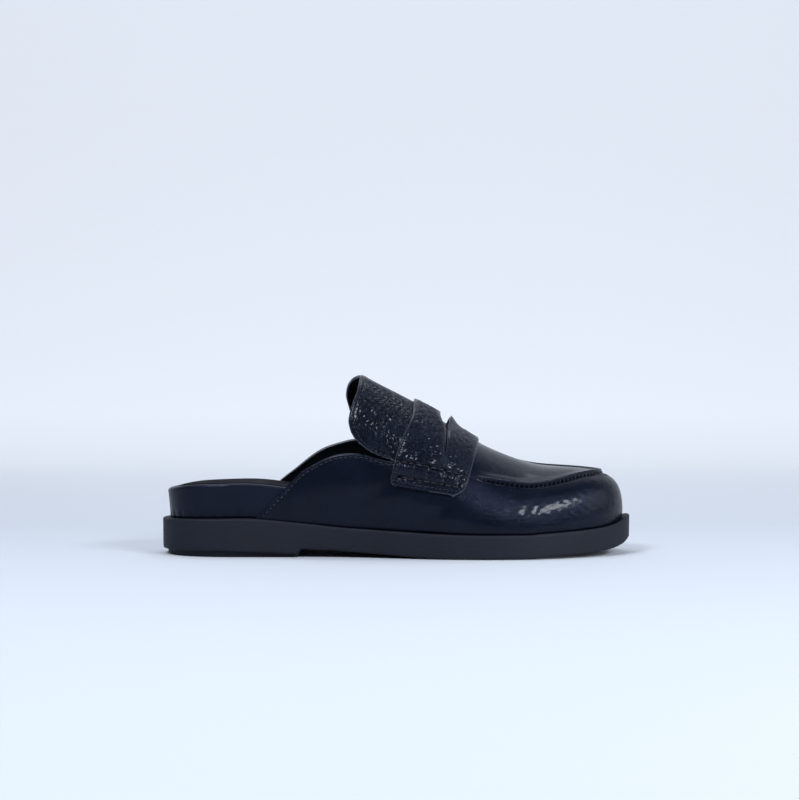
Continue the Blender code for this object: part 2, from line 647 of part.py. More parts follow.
def cut_slot(strap):
    """Penny slot: a lens with pointed ends across the ridge, cut straight down."""
    middle = SOLE_LENGTH * STRAP_REAR[-1][1] + 0.47 * STRAP_WIDTH
    steps = np.linspace(-1.0, 1.0, 13)
    bow = 0.5 * SLOT_WIDTH * (1.0 - steps ** 2) ** 0.8
    back = 0.07 * SLOT_LENGTH * steps ** 2
    half = np.column_stack((middle - back - bow, 0.5 * SLOT_LENGTH * steps))
    other = np.column_stack((middle - back + bow, 0.5 * SLOT_LENGTH * steps))[::-1][1:-1]
    plan = np.concatenate((half, other))
    count = len(plan)
    low, high = 0.5 * INSTEP_HEIGHT, 1.5 * INSTEP_HEIGHT
    points = [(x, y, z) for z in (low, high) for x, y in plan]
    faces = [tuple(range(count)), tuple(range(2 * count - 1, count - 1, -1))]
    faces += [(i, (i + 1) % count, count + (i + 1) % count, count + i) for i in range(count)]
    cutter = add_mesh("slot_cutter", points, faces, strap.data.materials[0])
    cutter.hide_render = True
    cutter.display_type = "WIRE"
    cut = strap.modifiers.new("slot", "BOOLEAN")
    cut.operation = "DIFFERENCE"
    cut.solver = "EXACT"
    cut.object = cutter


def main():
    """Clear the scene and build the shoe."""
    for old in list(bpy.data.objects):
        bpy.data.objects.remove(old, do_unlink=True)
    add_outsole()
    add_footbed()
    add_insole()
    add_upper()
    add_tongue()
    add_strap()


main()
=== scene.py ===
"""Looks of a black leather loafer mule, the right shoe of a pair.

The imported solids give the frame; every visible piece is modelled again here on finer grids over the
same last, with its creases, seams, stitches and finishes. Metres, +X toe, +Y inner side, +Z up.
"""
import logging
import math
from dataclasses import dataclass, field
from enum import Enum
from typing import Callable, Sequence

import bmesh
import bpy
import numpy as np
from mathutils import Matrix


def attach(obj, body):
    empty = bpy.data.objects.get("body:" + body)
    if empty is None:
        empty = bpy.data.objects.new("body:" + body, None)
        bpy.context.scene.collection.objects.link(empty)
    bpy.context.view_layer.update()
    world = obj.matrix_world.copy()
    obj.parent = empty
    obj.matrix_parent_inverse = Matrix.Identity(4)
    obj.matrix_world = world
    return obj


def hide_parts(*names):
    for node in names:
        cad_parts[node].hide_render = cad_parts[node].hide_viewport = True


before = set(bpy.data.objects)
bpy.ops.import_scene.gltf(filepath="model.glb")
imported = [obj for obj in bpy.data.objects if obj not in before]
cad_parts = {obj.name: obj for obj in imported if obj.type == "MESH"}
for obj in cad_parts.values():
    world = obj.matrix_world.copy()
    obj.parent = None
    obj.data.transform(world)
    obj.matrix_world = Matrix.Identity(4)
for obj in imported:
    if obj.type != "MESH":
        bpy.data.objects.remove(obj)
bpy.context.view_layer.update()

MM = 0.001
# Band beside a cut edge coloured pale: edge paint and a painted highlight along the edge.
EDGE_PAINT_AND_HIGHLIGHT_WIDTH = 0.40 * MM
WELD_DISTANCE = 0.01 * MM
FAR = 1.0
BODY = "root"
LOG = logging.getLogger("loafer_mule")

Array = np.ndarray
Table = tuple[tuple[float, ...], ...]


class Side(Enum):
    """Which half of the shoe, by the sign of its y."""

    OUTER = -1.0
    INNER = 1.0

    @property
    def other(self) -> "Side":
        """The opposite half."""
        return Side.INNER if self is Side.OUTER else Side.OUTER


def linear(hex_colour: str) -> tuple[float, float, float, float]:
    """Turn an sRGB hex colour into a linear one.

    Args:
        hex_colour: Six hex digits after a number sign.

    Returns:
        Linear red, green, blue and an alpha of one.
    """
    values = [int(hex_colour[i:i + 2], 16) / 255.0 for i in (1, 3, 5)]
    return (*[v / 12.92 if v <= 0.04045 else ((v + 0.055) / 1.055) ** 2.4 for v in values], 1.0)


def ramp(at: Array, start: float, end: float) -> Array:
    """Smooth step: 0 at start, 1 at end, level at both, three squares less two cubes between."""
    f = np.clip((np.asarray(at, float) - start) / (end - start), 0.0, 1.0)
    return f * f * (3.0 - 2.0 * f)


def bell(distance: Array, width: float) -> Array:
    """Soft bump of height 1: e to the minus square of distance over width."""
    return np.exp(-(distance / width) ** 2)


def steady(table: Table, column: int, at: Array) -> Array:
    """Cubic through a table that never overshoots.

    The slope at a knot is the harmonic mean of its two neighbours' slopes, or level at a turn.

    Args:
        table: Rows with the place first.
        column: Which value of each row to read.
        at: Places to read at.

    Returns:
        The values there.
    """
    rows = np.array(table)
    knots, values = rows[:, 0], rows[:, column]
    gaps = np.diff(knots)
    rates = np.diff(values) / gaps
    slopes = np.zeros(len(knots))
    same = rates[:-1] * rates[1:] > 0.0
    slopes[1:-1][same] = 2.0 * rates[:-1][same] * rates[1:][same] / (rates[:-1] + rates[1:])[same]
    place = np.clip(at, knots[0], knots[-1])
    k = np.clip(np.searchsorted(knots, place, side="right") - 1, 0, len(gaps) - 1)
    f = (place - knots[k]) / gaps[k]
    rise = values[k + 1] - values[k]
    return (values[k] + slopes[k] * gaps[k] * f * (1.0 - f) ** 2 + rise * f * f * (3.0 - 2.0 * f)
            - slopes[k + 1] * gaps[k] * f * f * (1.0 - f))


def eased(table: Table, at: Array) -> Array:
    """The steady cubic averaged over a short stretch, which takes the last kinks out."""
    return sum(steady(table, 1, at + step) for step in np.linspace(-0.034, 0.034, 7)) / 7.0


def spline(knots: Array, values: Array, at: Array) -> Array:
    """Natural cubic spline, whose bend is even at each knot and none at its ends.

    Args:
        knots: Rising places.
        values: Values at the knots.
        at: Places to read at.

    Returns:
        The values there.
    """
    gaps = np.diff(knots)
    rates = np.diff(values) / gaps
    count = len(knots)
    system = np.eye(count)
    right = np.zeros(count)
    for k in range(1, count - 1):
        system[k, k - 1:k + 2] = gaps[k - 1], 2.0 * (gaps[k - 1] + gaps[k]), gaps[k]
        right[k] = 6.0 * (rates[k] - rates[k - 1])
    bends = np.linalg.solve(system, right)
    place = np.clip(at, knots[0], knots[-1])
    k = np.clip(np.searchsorted(knots, place, side="right") - 1, 0, count - 2)
    past, left, gap = place - knots[k], knots[k + 1] - place, gaps[k]
    return (bends[k] * left ** 3 / (6.0 * gap) + bends[k + 1] * past ** 3 / (6.0 * gap)
            + (values[k] / gap - bends[k] * gap / 6.0) * left
            + (values[k + 1] / gap - bends[k + 1] * gap / 6.0) * past)


def crossing(rows: Array, grid: Array, wanted: Array) -> Array:
    """Where each rising row reaches its wanted value, on straight lines between the grid's places.

    Args:
        rows: Values, one row for each place asked for.
        grid: Places along a row.
        wanted: Values looked for, one or several for each row.

    Returns:
        Places along the rows, in the shape of wanted.
    """
    flat = wanted.reshape(len(rows), -1)
    found = np.empty_like(flat, dtype=float)
    for i, row in enumerate(rows):
        found[i] = np.interp(flat[i], row, grid)
    return found.reshape(wanted.shape)


def unit(vectors: Array) -> Array:
    """Vectors divided by their lengths."""
    return vectors / np.maximum(np.linalg.norm(vectors, axis=-1, keepdims=True), 1e-12)


def lengths_along(path: Array) -> Array:
    """Length along a path of points, from nothing at the first."""
    return np.concatenate(((0.0,), np.cumsum(np.linalg.norm(np.diff(path, axis=0), axis=1))))


def read_along(line: Array, way: Array, places: Array) -> Array:
    """Points of a line at places on it, on straight lines between the lengths in way."""
    return np.stack([np.interp(places, way, line[:, k]) for k in range(3)], axis=1)


def even_parts(*parts: tuple[float, float, int]) -> Array:
    """Even places over stretches that follow one another, with the place that two share kept once.

    Args:
        parts: Start, end and count of each stretch.

    Returns:
        All places, rising.
    """
    places = [np.linspace(*part) for part in parts]
    return np.concatenate([part[:-1] for part in places[:-1]] + places[-1:])


@dataclass(frozen=True)
class Last:
    """The last that every piece follows: the sole's plan, the sole's heights and the upper's face.

    Its sizes and tables are those of the solids, as real lengths and shares of them.
    """

    length: float = 270.0 * MM
    ball_width: float = 98.0 * MM
    seat_width: float = 67.5 * MM
    heel_height: float = 20.8 * MM
    fore_thickness: float = 13.3 * MM
    waist_lift: float = 4.5 * MM
    toe_spring: float = 8.8 * MM
    bed_height: float = 19.2 * MM
    fore_bed_height: float = 5.6 * MM
    bed_inset: float = 5.9 * MM
    bed_flare: float = 1.4 * MM
    rim_radius: float = 1.7 * MM
    cup_depth: float = 3.4 * MM
    cup_reach: float = 0.34
    toe_box_height: float = 49.8 * MM
    instep_height: float = 85.5 * MM
    collar_height: float = 58.2 * MM
    feather_inset: float = 4.0 * MM
    gap: float = 0.3 * MM
    toe_point: float = 0.040
    fan_start: float = 0.681
    fan_reach: float = 0.152
    spine_shift: float = 0.020
    throat: float = 0.556
    outline_rows: Table = (
        (0.015, 0.232, 0.232), (0.060, 0.412, 0.412), (0.130, 0.498, 0.496), (0.220, 0.502, 0.488),
        (0.330, 0.482, 0.462), (0.450, 0.452, 0.420), (0.550, 0.470, 0.442), (0.650, 0.492, 0.490),
        (0.730, 0.492, 0.514), (0.800, 0.460, 0.505), (0.880, 0.372, 0.440), (0.940, 0.268, 0.346),
        (0.980, 0.140, 0.222),
    )
    rise_rows: Table = (
        (0.000, 0.94), (0.022, 1.00), (0.110, 1.06), (0.193, 1.12), (0.226, 1.06), (0.270, 0.86),
        (0.315, 0.76), (0.345, 0.58), (0.407, 0.40), (0.474, 0.27), (0.544, 0.14), (0.611, 0.04),
        (0.670, 0.00), (1.000, 0.00),
    )
    waist_rows: Table = (
        (0.000, 0.00), (0.2926, 0.00), (0.3019, 1.00), (0.352, 0.93), (0.407, 0.66), (0.463, 0.44),
        (0.519, 0.22), (0.574, 0.00), (1.000, 0.00),
    )
    spring_rows: Table = (
        (0.000, 0.00), (0.770, 0.00), (0.800, 0.07), (0.830, 0.12), (0.874, 0.19), (0.915, 0.29),
        (0.937, 0.36), (0.959, 0.48), (0.981, 0.70), (1.000, 1.00),
    )
    lift_rows: Table = ((0.000, 0.95), (0.137, 1.10), (0.226, 0.80), (0.2926, 0.55), (0.3019, 0.10),
                        (1.000, 0.10))
    bed_rows: Table = (
        (0.000, 0.75), (0.060, 0.97), (0.185, 1.00), (0.270, 0.96), (0.360, 0.80), (0.450, 0.56),
        (0.560, 0.28), (0.680, 0.06), (0.760, 0.00), (1.000, 0.00),
    )
    ridge_rows: Table = (
        (0.170, 1.46), (0.390, 1.46), (0.424, 1.430), (0.436, 1.382), (0.4815, 1.202),
        (0.5333, 1.000), (0.563, 0.880), (0.593, 0.752), (0.648, 0.512), (0.676, 0.385),
        (0.705, 0.276), (0.759, 0.115), (0.796, 0.036), (0.833, 0.000), (0.870, -0.012),
    )
    outer_ribs: Table = (
        (0.200, 0.006, 0.600, 0.620), (0.270, 0.016, 0.620, 0.620), (0.370, 0.062, 0.650, 0.620),
        (0.520, 0.080, 0.620, 0.620), (0.648, 0.030, 0.540, 0.540), (0.740, 0.016, 0.520, 0.520),
        (0.850, 0.014, 0.660, 0.660), (0.940, 0.012, 0.820, 0.820), (0.986, 0.008, 0.880, 0.850),
    )
    inner_ribs: Table = (
        (0.160, 0.006, 0.600, 0.620), (0.270, 0.020, 0.640, 0.620), (0.370, 0.050, 0.660, 0.640),
        (0.520, 0.052, 0.680, 0.640), (0.648, 0.030, 0.760, 0.660), (0.740, 0.020, 0.820, 0.700),
        (0.850, 0.018, 0.880, 0.780), (0.940, 0.012, 0.900, 0.840), (0.986, 0.008, 0.880, 0.850),
    )
    outer_collar: Table = (
        (0.207, 0.372), (0.237, 0.515), (0.270, 0.670), (0.300, 0.813), (0.322, 0.880),
        (0.352, 0.952), (0.374, 0.985), (0.404, 1.000), (0.444, 0.978), (0.489, 0.936),
        (0.515, 0.990), (0.540, 1.160),
    )
    inner_collar: Table = (
        (0.180, 0.372), (0.215, 0.560), (0.248, 0.716), (0.274, 0.809), (0.307, 0.933),
        (0.341, 1.031), (0.374, 1.082), (0.400, 1.113), (0.444, 1.100), (0.489, 1.060),
        (0.515, 1.100), (0.540, 1.220),
    )
    seam_rows: Table = (
        (0.560, 0.085, 0.190), (0.650, 0.080, 0.195), (0.740, 0.106, 0.195), (0.830, 0.103, 0.185),
        (0.900, 0.110, 0.160), (0.950, 0.118, 0.135), (0.986, 0.122, 0.122),
    )

    def outline(self, turns: Array) -> Array:
        """Plan of the sole, from the heel's back over the outer side to the toe tip and back.

        The length goes with the cosine of the turn and the width is a closed spline in it, which
        rounds both ends.

        Args:
            turns: Angles, 0 at the heel's back and pi at the toe tip.

        Returns:
            Points in plan, with x from the heel's back.
        """
        rows = np.array(self.outline_rows)
        half = np.arccos(1.0 - 2.0 * rows[:, 0])
        width = self.seat_width + (self.ball_width - self.seat_width) * ramp(rows[:, 0], 0.26, 0.64)
        lap = 2.0 * math.pi
        knots = np.concatenate(((0.0,), half, (math.pi,), lap - half[::-1]))
        values = np.concatenate(((0.0,), -rows[:, 1] * width, (self.toe_point * self.ball_width,),
                                 (rows[:, 2] * width)[::-1]))
        knots = np.concatenate((knots - lap, knots, knots + lap))
        y = spline(knots, np.tile(values, 3), np.mod(turns, lap))
        return np.stack((self.length * (1.0 - np.cos(turns)) / 2.0, y), axis=-1)

    def inset_outline(self, turns: Array, inset: Array) -> Array:
        """The plan moved inwards along its own normal.

        Args:
            turns: Angles as for outline.
            inset: Distance inwards, one for all or one for each turn.

        Returns:
            Points in plan.
        """
        step = 1e-4
        travel = unit(self.outline(turns + step) - self.outline(turns - step))
        inward = np.stack((-travel[:, 1], travel[:, 0]), axis=-1)
        return self.outline(turns) + inward * np.asarray(inset).reshape(-1, 1)

    def middle(self) -> Array:
        """Middle of the sole's plan, which is the frame's origin."""
        plan = self.outline(np.linspace(0.0, 2.0 * math.pi, 721))
        centre = (plan.min(axis=0) + plan.max(axis=0)) / 2.0
        return np.array((centre[0], centre[1], 0.0))

    def floor(self, x: Array) -> Array:
        """Underside of the sole: flat heel and forefoot, raised waist and toe spring."""
        share = x / self.length
        rows = np.array(self.waist_rows)
        return (self.waist_lift * np.interp(share, rows[:, 0], rows[:, 1])
                + self.toe_spring * steady(self.spring_rows, 1, share))

    def sole_top(self, x: Array) -> Array:
        """Top of the outsole: forepart thickness, risen to the heel, on the toe spring."""
        share = x / self.length
        rise = (self.heel_height - self.fore_thickness) * eased(self.rise_rows, share)
        return self.fore_thickness + rise + self.toe_spring * steady(self.spring_rows, 1, share)

    def rim(self, x: Array) -> Array:
        """Top of the footbed's rim."""
        rise = (self.bed_height - self.fore_bed_height) * eased(self.bed_rows, x / self.length)
        return self.sole_top(x) + self.gap + self.fore_bed_height + rise

    def bed(self, x: Array, inset: float) -> Array:
        """Cupped top of the footbed, lower towards its middle and most at the heel."""
        depth = self.cup_depth * (1.0 - 0.72 * ramp(x / self.length, 0.30, 0.70))
        reach = ramp(inset, self.bed_inset + self.rim_radius, self.cup_reach * self.seat_width)
        near = ramp(inset, self.bed_inset, self.bed_inset + 2.5 * self.rim_radius)
        return self.rim(x) - depth * (0.25 * near + 0.75 * reach)

    def ridge(self, x: Array) -> Array:
        """Height of the upper's ridge over the floor."""
        rows = np.array(self.ridge_rows)
        share = spline(rows[:, 0], rows[:, 1], x / self.length)
        return self.toe_box_height + (self.instep_height - self.toe_box_height) * share

    def feather(self, side: Side) -> Array:
        """Dense points of the upper's feather edge on one side, from heel to toe."""
        turns = np.linspace(0.0, math.pi, 2401)
        plan = self.inset_outline(turns if side is Side.OUTER else 2.0 * math.pi - turns,
                                  self.feather_inset)
        return plan[int(plan[:, 0].argmin()):int(plan[:, 0].argmax()) + 1]

    def toe_reach(self) -> float:
        """Foremost x of the feather edge."""
        turns = np.linspace(0.75 * math.pi, 1.25 * math.pi, 2401)
        return float(self.inset_outline(turns, self.feather_inset)[:, 0].max())

    def ribs(self, side: Side, x: Array, t: Array) -> Array:
        """The upper's outer face.

        A rib is a cubic that leaves the feather edge upwards, leaning out a little, and meets the
        ridge across it. The ribs of the toe all turn towards one place on the ridge.

        Args:
            side: Which half.
            x: Where the rib stands on the feather edge.
            t: Way along the rib, 0 at the edge and 1 on the ridge.

        Returns:
            Points of the face, in the shape of x and t.
        """
        x, t = np.broadcast_arrays(np.asarray(x, float), np.asarray(t, float))
        line = self.feather(side)
        base_y = np.interp(x, line[:, 0], line[:, 1])
        base_z = self.sole_top(x) + self.gap
        start, tip = self.fan_start * self.length, self.toe_reach()
        past = np.clip((x - start) / (tip - start), 0.0, 1.0)
        spine_x = x - self.fan_reach * self.length * past * past
        spine_y = self.spine_shift * self.ball_width * past
        spine_z = self.ridge(spine_x)
        slope = (self.ridge(spine_x + MM) - self.ridge(spine_x - MM)) / (2.0 * MM)
        away_x, away_y = x - spine_x, base_y - spine_y
        table = self.outer_ribs if side is Side.OUTER else self.inner_ribs
        share = x / self.length
        lean = self.ball_width * steady(table, 1, share) / np.hypot(away_x, away_y)
        up = steady(table, 2, share) * (spine_z - base_z)
        across = steady(table, 3, share)
        base = np.stack((x, base_y, base_z), axis=-1)
        wall = np.stack((x + lean * away_x, base_y + lean * away_y, base_z + up), axis=-1)
        crown = np.stack((spine_x + across * away_x, spine_y + across * away_y,
                          spine_z + slope * across * away_x), axis=-1)
        spine = np.stack((spine_x, spine_y, spine_z), axis=-1)
        t = t[..., None]
        return (base * (1.0 - t) ** 3 + 3.0 * wall * t * (1.0 - t) ** 2
                + 3.0 * crown * t * t * (1.0 - t) + spine * t ** 3)

    def half_outward(self, side: Side, x: Array, t: Array) -> Array:
        """Outward direction of one half of the face, from two short steps on it."""
        step_x, step_t = 0.2 * MM, 1e-3
        ahead = np.minimum(x + step_x, self.toe_reach())
        along = self.ribs(side, ahead, t) - self.ribs(side, ahead - 2.0 * step_x, t)
        high = np.minimum(t + step_t, 1.0)
        upward = self.ribs(side, x, high) - self.ribs(side, x, high - 2.0 * step_t)
        return unit(np.cross(along, upward) * -side.value)

    def outward(self, side: Side, x: Array, t: Array) -> Array:
        """Outward direction of the face, the mean of both halves on the ridge they share."""
        x, t = np.broadcast_arrays(np.asarray(x, float), np.asarray(t, float))
        own = self.half_outward(side, x, t)
        shared = unit(own + self.half_outward(side.other, x, t))
        return np.where(t[..., None] > 1.0 - 1e-9, shared, own)

    def t_at_height(self, side: Side, x: Array, height: Array) -> Array:
        """Where ribs reach a height over the floor, or 1 above the ridge.

        Args:
            side: Which half.
            x: One place for each rib.
            height: One height for all or one for each rib.

        Returns:
            Ways along the ribs.
        """
        dense = np.linspace(0.0, 1.0, 161)
        rows = self.ribs(side, x[:, None], dense[None, :])[..., 2]
        return crossing(rows, dense, np.broadcast_to(height, x.shape).copy()[:, None])[:, 0]

    def rib_lengths(self, side: Side, x: Array) -> tuple[Array, Array, Array]:
        """Lengths along the ribs that stand at x.

        Args:
            side: Which half.
            x: One place for each rib.

        Returns:
            Dense ways along a rib, the ribs' points there and the lengths up to them.
        """
        dense = np.linspace(0.0, 1.0, 261)
        points = self.ribs(side, x[:, None], dense[None, :])
        return dense, points, np.array([lengths_along(rib) for rib in points])

    def collar_rows(self, side: Side) -> Table:
        """The collar's table on one side."""
        return self.outer_collar if side is Side.OUTER else self.inner_collar

    def collar_t(self, side: Side, x: Array) -> Array:
        """Top of the upper on each rib: the collar line, or the ridge in front of the throat."""
        table = self.collar_rows(side)
        share = x / self.length
        rows = np.array(table)
        low = self.t_at_height(side, x, self.collar_height * spline(rows[:, 0], rows[:, 1], share))
        return low + (1.0 - low) * ramp(share, table[-1][0], self.throat) ** 0.7


LAST = Last()


@dataclass(frozen=True)
class Crinkle:
    """Wrinkles of milled leather as real relief: sharp little valleys between soft pads.

    The height is the mean over several waves of the square root of one less the wave's cosine. Each
    wave has its own direction, about the main one, and its own phase, bent by the other waves.
    """

    pitch: float
    depth: float
    turn: float
    waves: int = 5
    seed: int = 5

    def height(self, cloth: Array) -> Array:
        """Height over the mean face at places on the flat leather."""
        draw = np.random.default_rng(self.seed)
        total = np.zeros(cloth.shape[:-1])
        bend = np.zeros_like(total)
        for _ in range(self.waves):
            angle = math.radians(self.turn) + draw.normal(0.0, 0.55)
            size = self.pitch * draw.uniform(0.75, 1.6)
            place = (cloth[..., 0] * math.cos(angle) + cloth[..., 1] * math.sin(angle)) / size
            phase = 2.0 * math.pi * (place + draw.uniform()) + 1.9 * bend
            total += np.sqrt(np.abs(np.sin(0.5 * phase)))
            bend = np.sin(1.7 * phase + 3.0 * cloth[..., 1] / self.pitch * 0.21) + 0.4 * bend
        spread = 0.22 / math.sqrt(self.waves)
        return self.depth * (total / self.waves - 0.76) / spread


@dataclass(frozen=True)
class RolledEdge:
    """How a leather edge ends: rolled down at its rim, with a trough under the edge stitches."""

    drop: float
    reach: float
    inset: float
    trough: float
    trough_width: float

    def lift(self, to_edge: Array) -> Array:
        """Height over the leather's face at distances from the edge, never above zero."""
        roll = self.drop * (1.0 - ramp(to_edge, 0.0, self.reach))
        return -roll - self.trough * bell(to_edge - self.inset, self.trough_width)


@dataclass
class Patch:
    """One grid of a skin: points, their place on the leather in metres, how faces wind, and the
    distance of each point from the cut edge, whose band takes pale edge paint with a painted
    highlight."""

    points: Array
    cloth: Array
    turned: bool
    to_edge: Array


def cloth_lengths(points: Array) -> Array:
    """Place of each grid point on the flat leather: lengths along the grid's rows and columns.

    Args:
        points: Grid of points, rows by columns.

    Returns:
        Two lengths for each point, in metres.
    """
    down = np.linalg.norm(np.diff(points, axis=0), axis=-1)
    along = np.linalg.norm(np.diff(points, axis=1), axis=-1)
    u = np.concatenate((np.zeros((points.shape[0], 1)), np.cumsum(along, axis=1)), axis=1)
    v = np.concatenate((np.zeros((1, points.shape[1])), np.cumsum(down, axis=0)), axis=0)
    return np.stack((u, v), axis=-1)


def grid_quads(rows: int, columns: int, start: int, turned: bool) -> Array:
    """Corner numbers of a grid's quads, the other way round when turned."""
    i, j = np.meshgrid(np.arange(rows - 1), np.arange(columns - 1), indexing="ij")
    first = (start + i * columns + j).ravel()
    quads = np.stack((first, first + columns, first + columns + 1, first + 1), axis=1)
    return quads[:, ::-1] if turned else quads


def mesh_object(name: str, points: Array, faces: Sequence[Sequence[int]],
                cloth: Array | None = None, weld: float = 0.0, closed: bool = False
                ) -> bpy.types.Object:
    """Put a mesh in the scene, moved from the drawing frame to the shoe's frame.

    Args:
        name: Name of the piece.
        points: Vertices, with x from the heel's back.
        faces: Corner numbers.
        cloth: Places on the leather, one for each vertex, kept as a UV map.
        weld: Distance under which vertices are joined, or none.
        closed: Whether the faces may be turned outwards as a closed shell.

    Returns:
        The object, at the origin.
    """
    mesh = bpy.data.meshes.new(name)
    numbers = [list(map(int, face)) for face in faces]
    mesh.from_pydata((points - LAST.middle()).tolist(), [], numbers)
    if cloth is not None:
        corners = np.empty(len(mesh.loops), dtype=np.int32)
        mesh.loops.foreach_get("vertex_index", corners)
        layer = mesh.uv_layers.new(name="leather")
        layer.data.foreach_set("uv", cloth[corners].astype(np.float32).ravel())
    if weld or closed:
        work = bmesh.new()
        work.from_mesh(mesh)
        if weld:
            bmesh.ops.remove_doubles(work, verts=work.verts, dist=weld)
        if closed:
            bmesh.ops.recalc_face_normals(work, faces=work.faces)
        work.to_mesh(mesh)
        work.free()
    mesh.shade_smooth()
    made = bpy.data.objects.new(name, mesh)
    bpy.context.scene.collection.objects.link(made)
    return made


def skin_object(name: str, patches: Sequence[Patch], wall: float,
                finishes: Sequence[bpy.types.Material]) -> bpy.types.Object:
    """A leather skin from welded grids, with its wall laid inwards.

    Args:
        name: Name of the piece.
        patches: Grids of the outer face.
        wall: Thickness of the leather.
        finishes: Materials of the outer face, the inner face and the cut edge; the last is pale edge
            paint with a painted highlight.

    Returns:
        The object.
    """
    quads, start = [], 0
    for patch in patches:
        rows, columns = patch.points.shape[:2]
        quads.append(grid_quads(rows, columns, start, patch.turned))
        start += rows * columns
    points = np.concatenate([patch.points.reshape(-1, 3) for patch in patches])
    cloth = np.concatenate([patch.cloth.reshape(-1, 2) for patch in patches])
    made = mesh_object(name, points, np.concatenate(quads), cloth, weld=WELD_DISTANCE)
    for finish in finishes:
        made.data.materials.append(finish)
    # Quads in that band take the pale edge colour, partly a painted highlight.
    paint_and_highlight_band = np.concatenate([patch.to_edge.ravel() for patch in patches]) < EDGE_PAINT_AND_HIGHLIGHT_WIDTH
    slots = np.where(paint_and_highlight_band[np.concatenate(quads)].sum(axis=1) > 2, 2, 0).astype(np.int32)
    if len(slots) == len(made.data.polygons):
        made.data.polygons.foreach_set("material_index", slots)
    else:
        LOG.info("%s: quads were welded away, so its edge band keeps the leather's finish", name)
    solid = made.modifiers.new("wall", "SOLIDIFY")
    solid.thickness = wall
    solid.offset = -1.0
    solid.use_even_offset = False
    solid.material_offset = 1
    # The cut edge's rim faces take the same pale edge colour, partly a painted highlight.
    solid.material_offset_rim = 2
    return made


def loft_object(name: str, rings: Sequence[Array], finish: bpy.types.Material) -> bpy.types.Object:
    """Closed solid through rings listed from the top middle outwards, down and in again.

    Each end is capped straight across, from each outer point to its inner twin.

    Args:
        name: Name of the piece.
        rings: Closed loops with the same number of points.
        finish: Its material.

    Returns:
        The object.
    """
    count = len(rings[0])
    i = np.arange(count)
    j = (i + 1) % count
    faces: list[list[int]] = []
    for k in range(len(rings) - 1):
        low, high = (k + 1) * count, k * count
        faces += np.stack((high + i, low + i, low + j, high + j), axis=1).tolist()
    for first, turned in ((0, False), ((len(rings) - 1) * count, True)):
        for k in range(count // 2):
            cap = [first + c for c in dict.fromkeys((k, k + 1, count - k - 1, (count - k) % count))]
            faces.append(cap[::-1] if turned else cap)
    made = mesh_object(name, np.concatenate(rings), faces, closed=True)
    made.data.materials.append(finish)
    return made


def ring(turns: Array, inset: Array, height: Callable[[Array], Array]) -> Array:
    """One closed loop of a sole piece: an inset plan, at a height worked out from its x."""
    plan = LAST.inset_outline(turns, inset)
    return np.column_stack((plan, height(plan[:, 0])))


def even_turns(count: int) -> Array:
    """Turns with the same places on both sides, with the heel breast's two stations added."""
    half = np.linspace(0.0, math.pi, count + 1)[1:-1]
    breast = np.arccos(1.0 - 2.0 * np.array((LAST.waist_rows[1][0], LAST.waist_rows[2][0])))
    near = np.abs(half[:, None] - breast[None, :]).min(axis=1)
    half = np.sort(np.concatenate((half[near > 0.35 * math.pi / count], breast)))
    return np.concatenate(((0.0,), half, (math.pi,), 2.0 * math.pi - half[::-1]))


@dataclass(frozen=True)
class Thread:
    """A sewing thread's size and how its stitches lie."""

    radius: float
    pitch: float
    stitch: float
    lift: float
    sides: int = 6

    def run(self, path: Array, outward: Array) -> tuple[Array, Array]:
        """Stitches along a line.

        A stitch is a tube whose radius falls to nothing at both ends, by the fourth root rule of a
        rounded bar, bowed out of the leather by a parabola.

        Args:
            path: Points of the line.
            outward: Outward direction at each point.

        Returns:
            Vertices and faces of all stitches.
        """
        way = lengths_along(path)
        centres = self.centres(way[-1])
        behind, middle, ahead = (read_along(path, way, centres + share * self.stitch)
                                 for share in (-0.5, 0.0, 0.5))
        up = unit(read_along(outward, way, centres))
        travel = unit(ahead - behind)
        across = unit(np.cross(travel, up))
        return self.tubes(middle, travel, up, across, np.full(len(centres), self.stitch))

    def centres(self, length: float) -> Array:
        """Middles of the stitches, spread evenly over a length."""
        count = max(int(length / self.pitch), 1)
        return (np.arange(count) + 0.5) * length / count

    def tubes(self, middle: Array, travel: Array, up: Array, across: Array,
              lengths: Array) -> tuple[Array, Array]:
        """Stitch tubes at given places, each as long as asked.

        Args:
            middle: Centres.
            travel: Directions along the stitches.
            up: Directions out of the leather.
            across: Directions across the stitches.
            lengths: Length of each stitch.

        Returns:
            Vertices and faces.
        """
        along = np.array((-1.0, -0.86, -0.5, 0.0, 0.5, 0.86, 1.0))
        n = self.sides
        turns = np.arange(n) * 2.0 * math.pi / n
        size = self.radius * np.maximum(1.0 - along ** 4, 0.02) ** 0.5
        bow = self.lift * (1.0 - along ** 2) - 0.5 * self.radius
        u = 0.5 * along[None, :, None] * lengths[:, None, None] * np.ones((1, 1, n))
        v = np.broadcast_to((bow[:, None] + size[:, None] * np.sin(turns)[None, :]), u.shape)
        w = np.broadcast_to((size[:, None] * np.cos(turns)[None, :]), u.shape)
        points = middle[:, None, None, :] + sum(
            part[..., None] * way[:, None, None, :]
            for part, way in ((u, travel), (v, up), (w, across)))
        rings, count = len(along), len(middle)
        quads = np.array([(low + s, low + (s + 1) % n, low + n + (s + 1) % n, low + n + s)
                          for low in range(0, (rings - 1) * n, n) for s in range(n)])
        ends = [list(range(n - 1, -1, -1)), [(rings - 1) * n + s for s in range(n)]]
        starts = np.arange(count) * rings * n
        faces = (quads[None] + starts[:, None, None]).reshape(-1, 4).tolist()
        faces += [[c + start for c in end] for start in starts.tolist() for end in ends]
        return points.reshape(-1, 3), faces


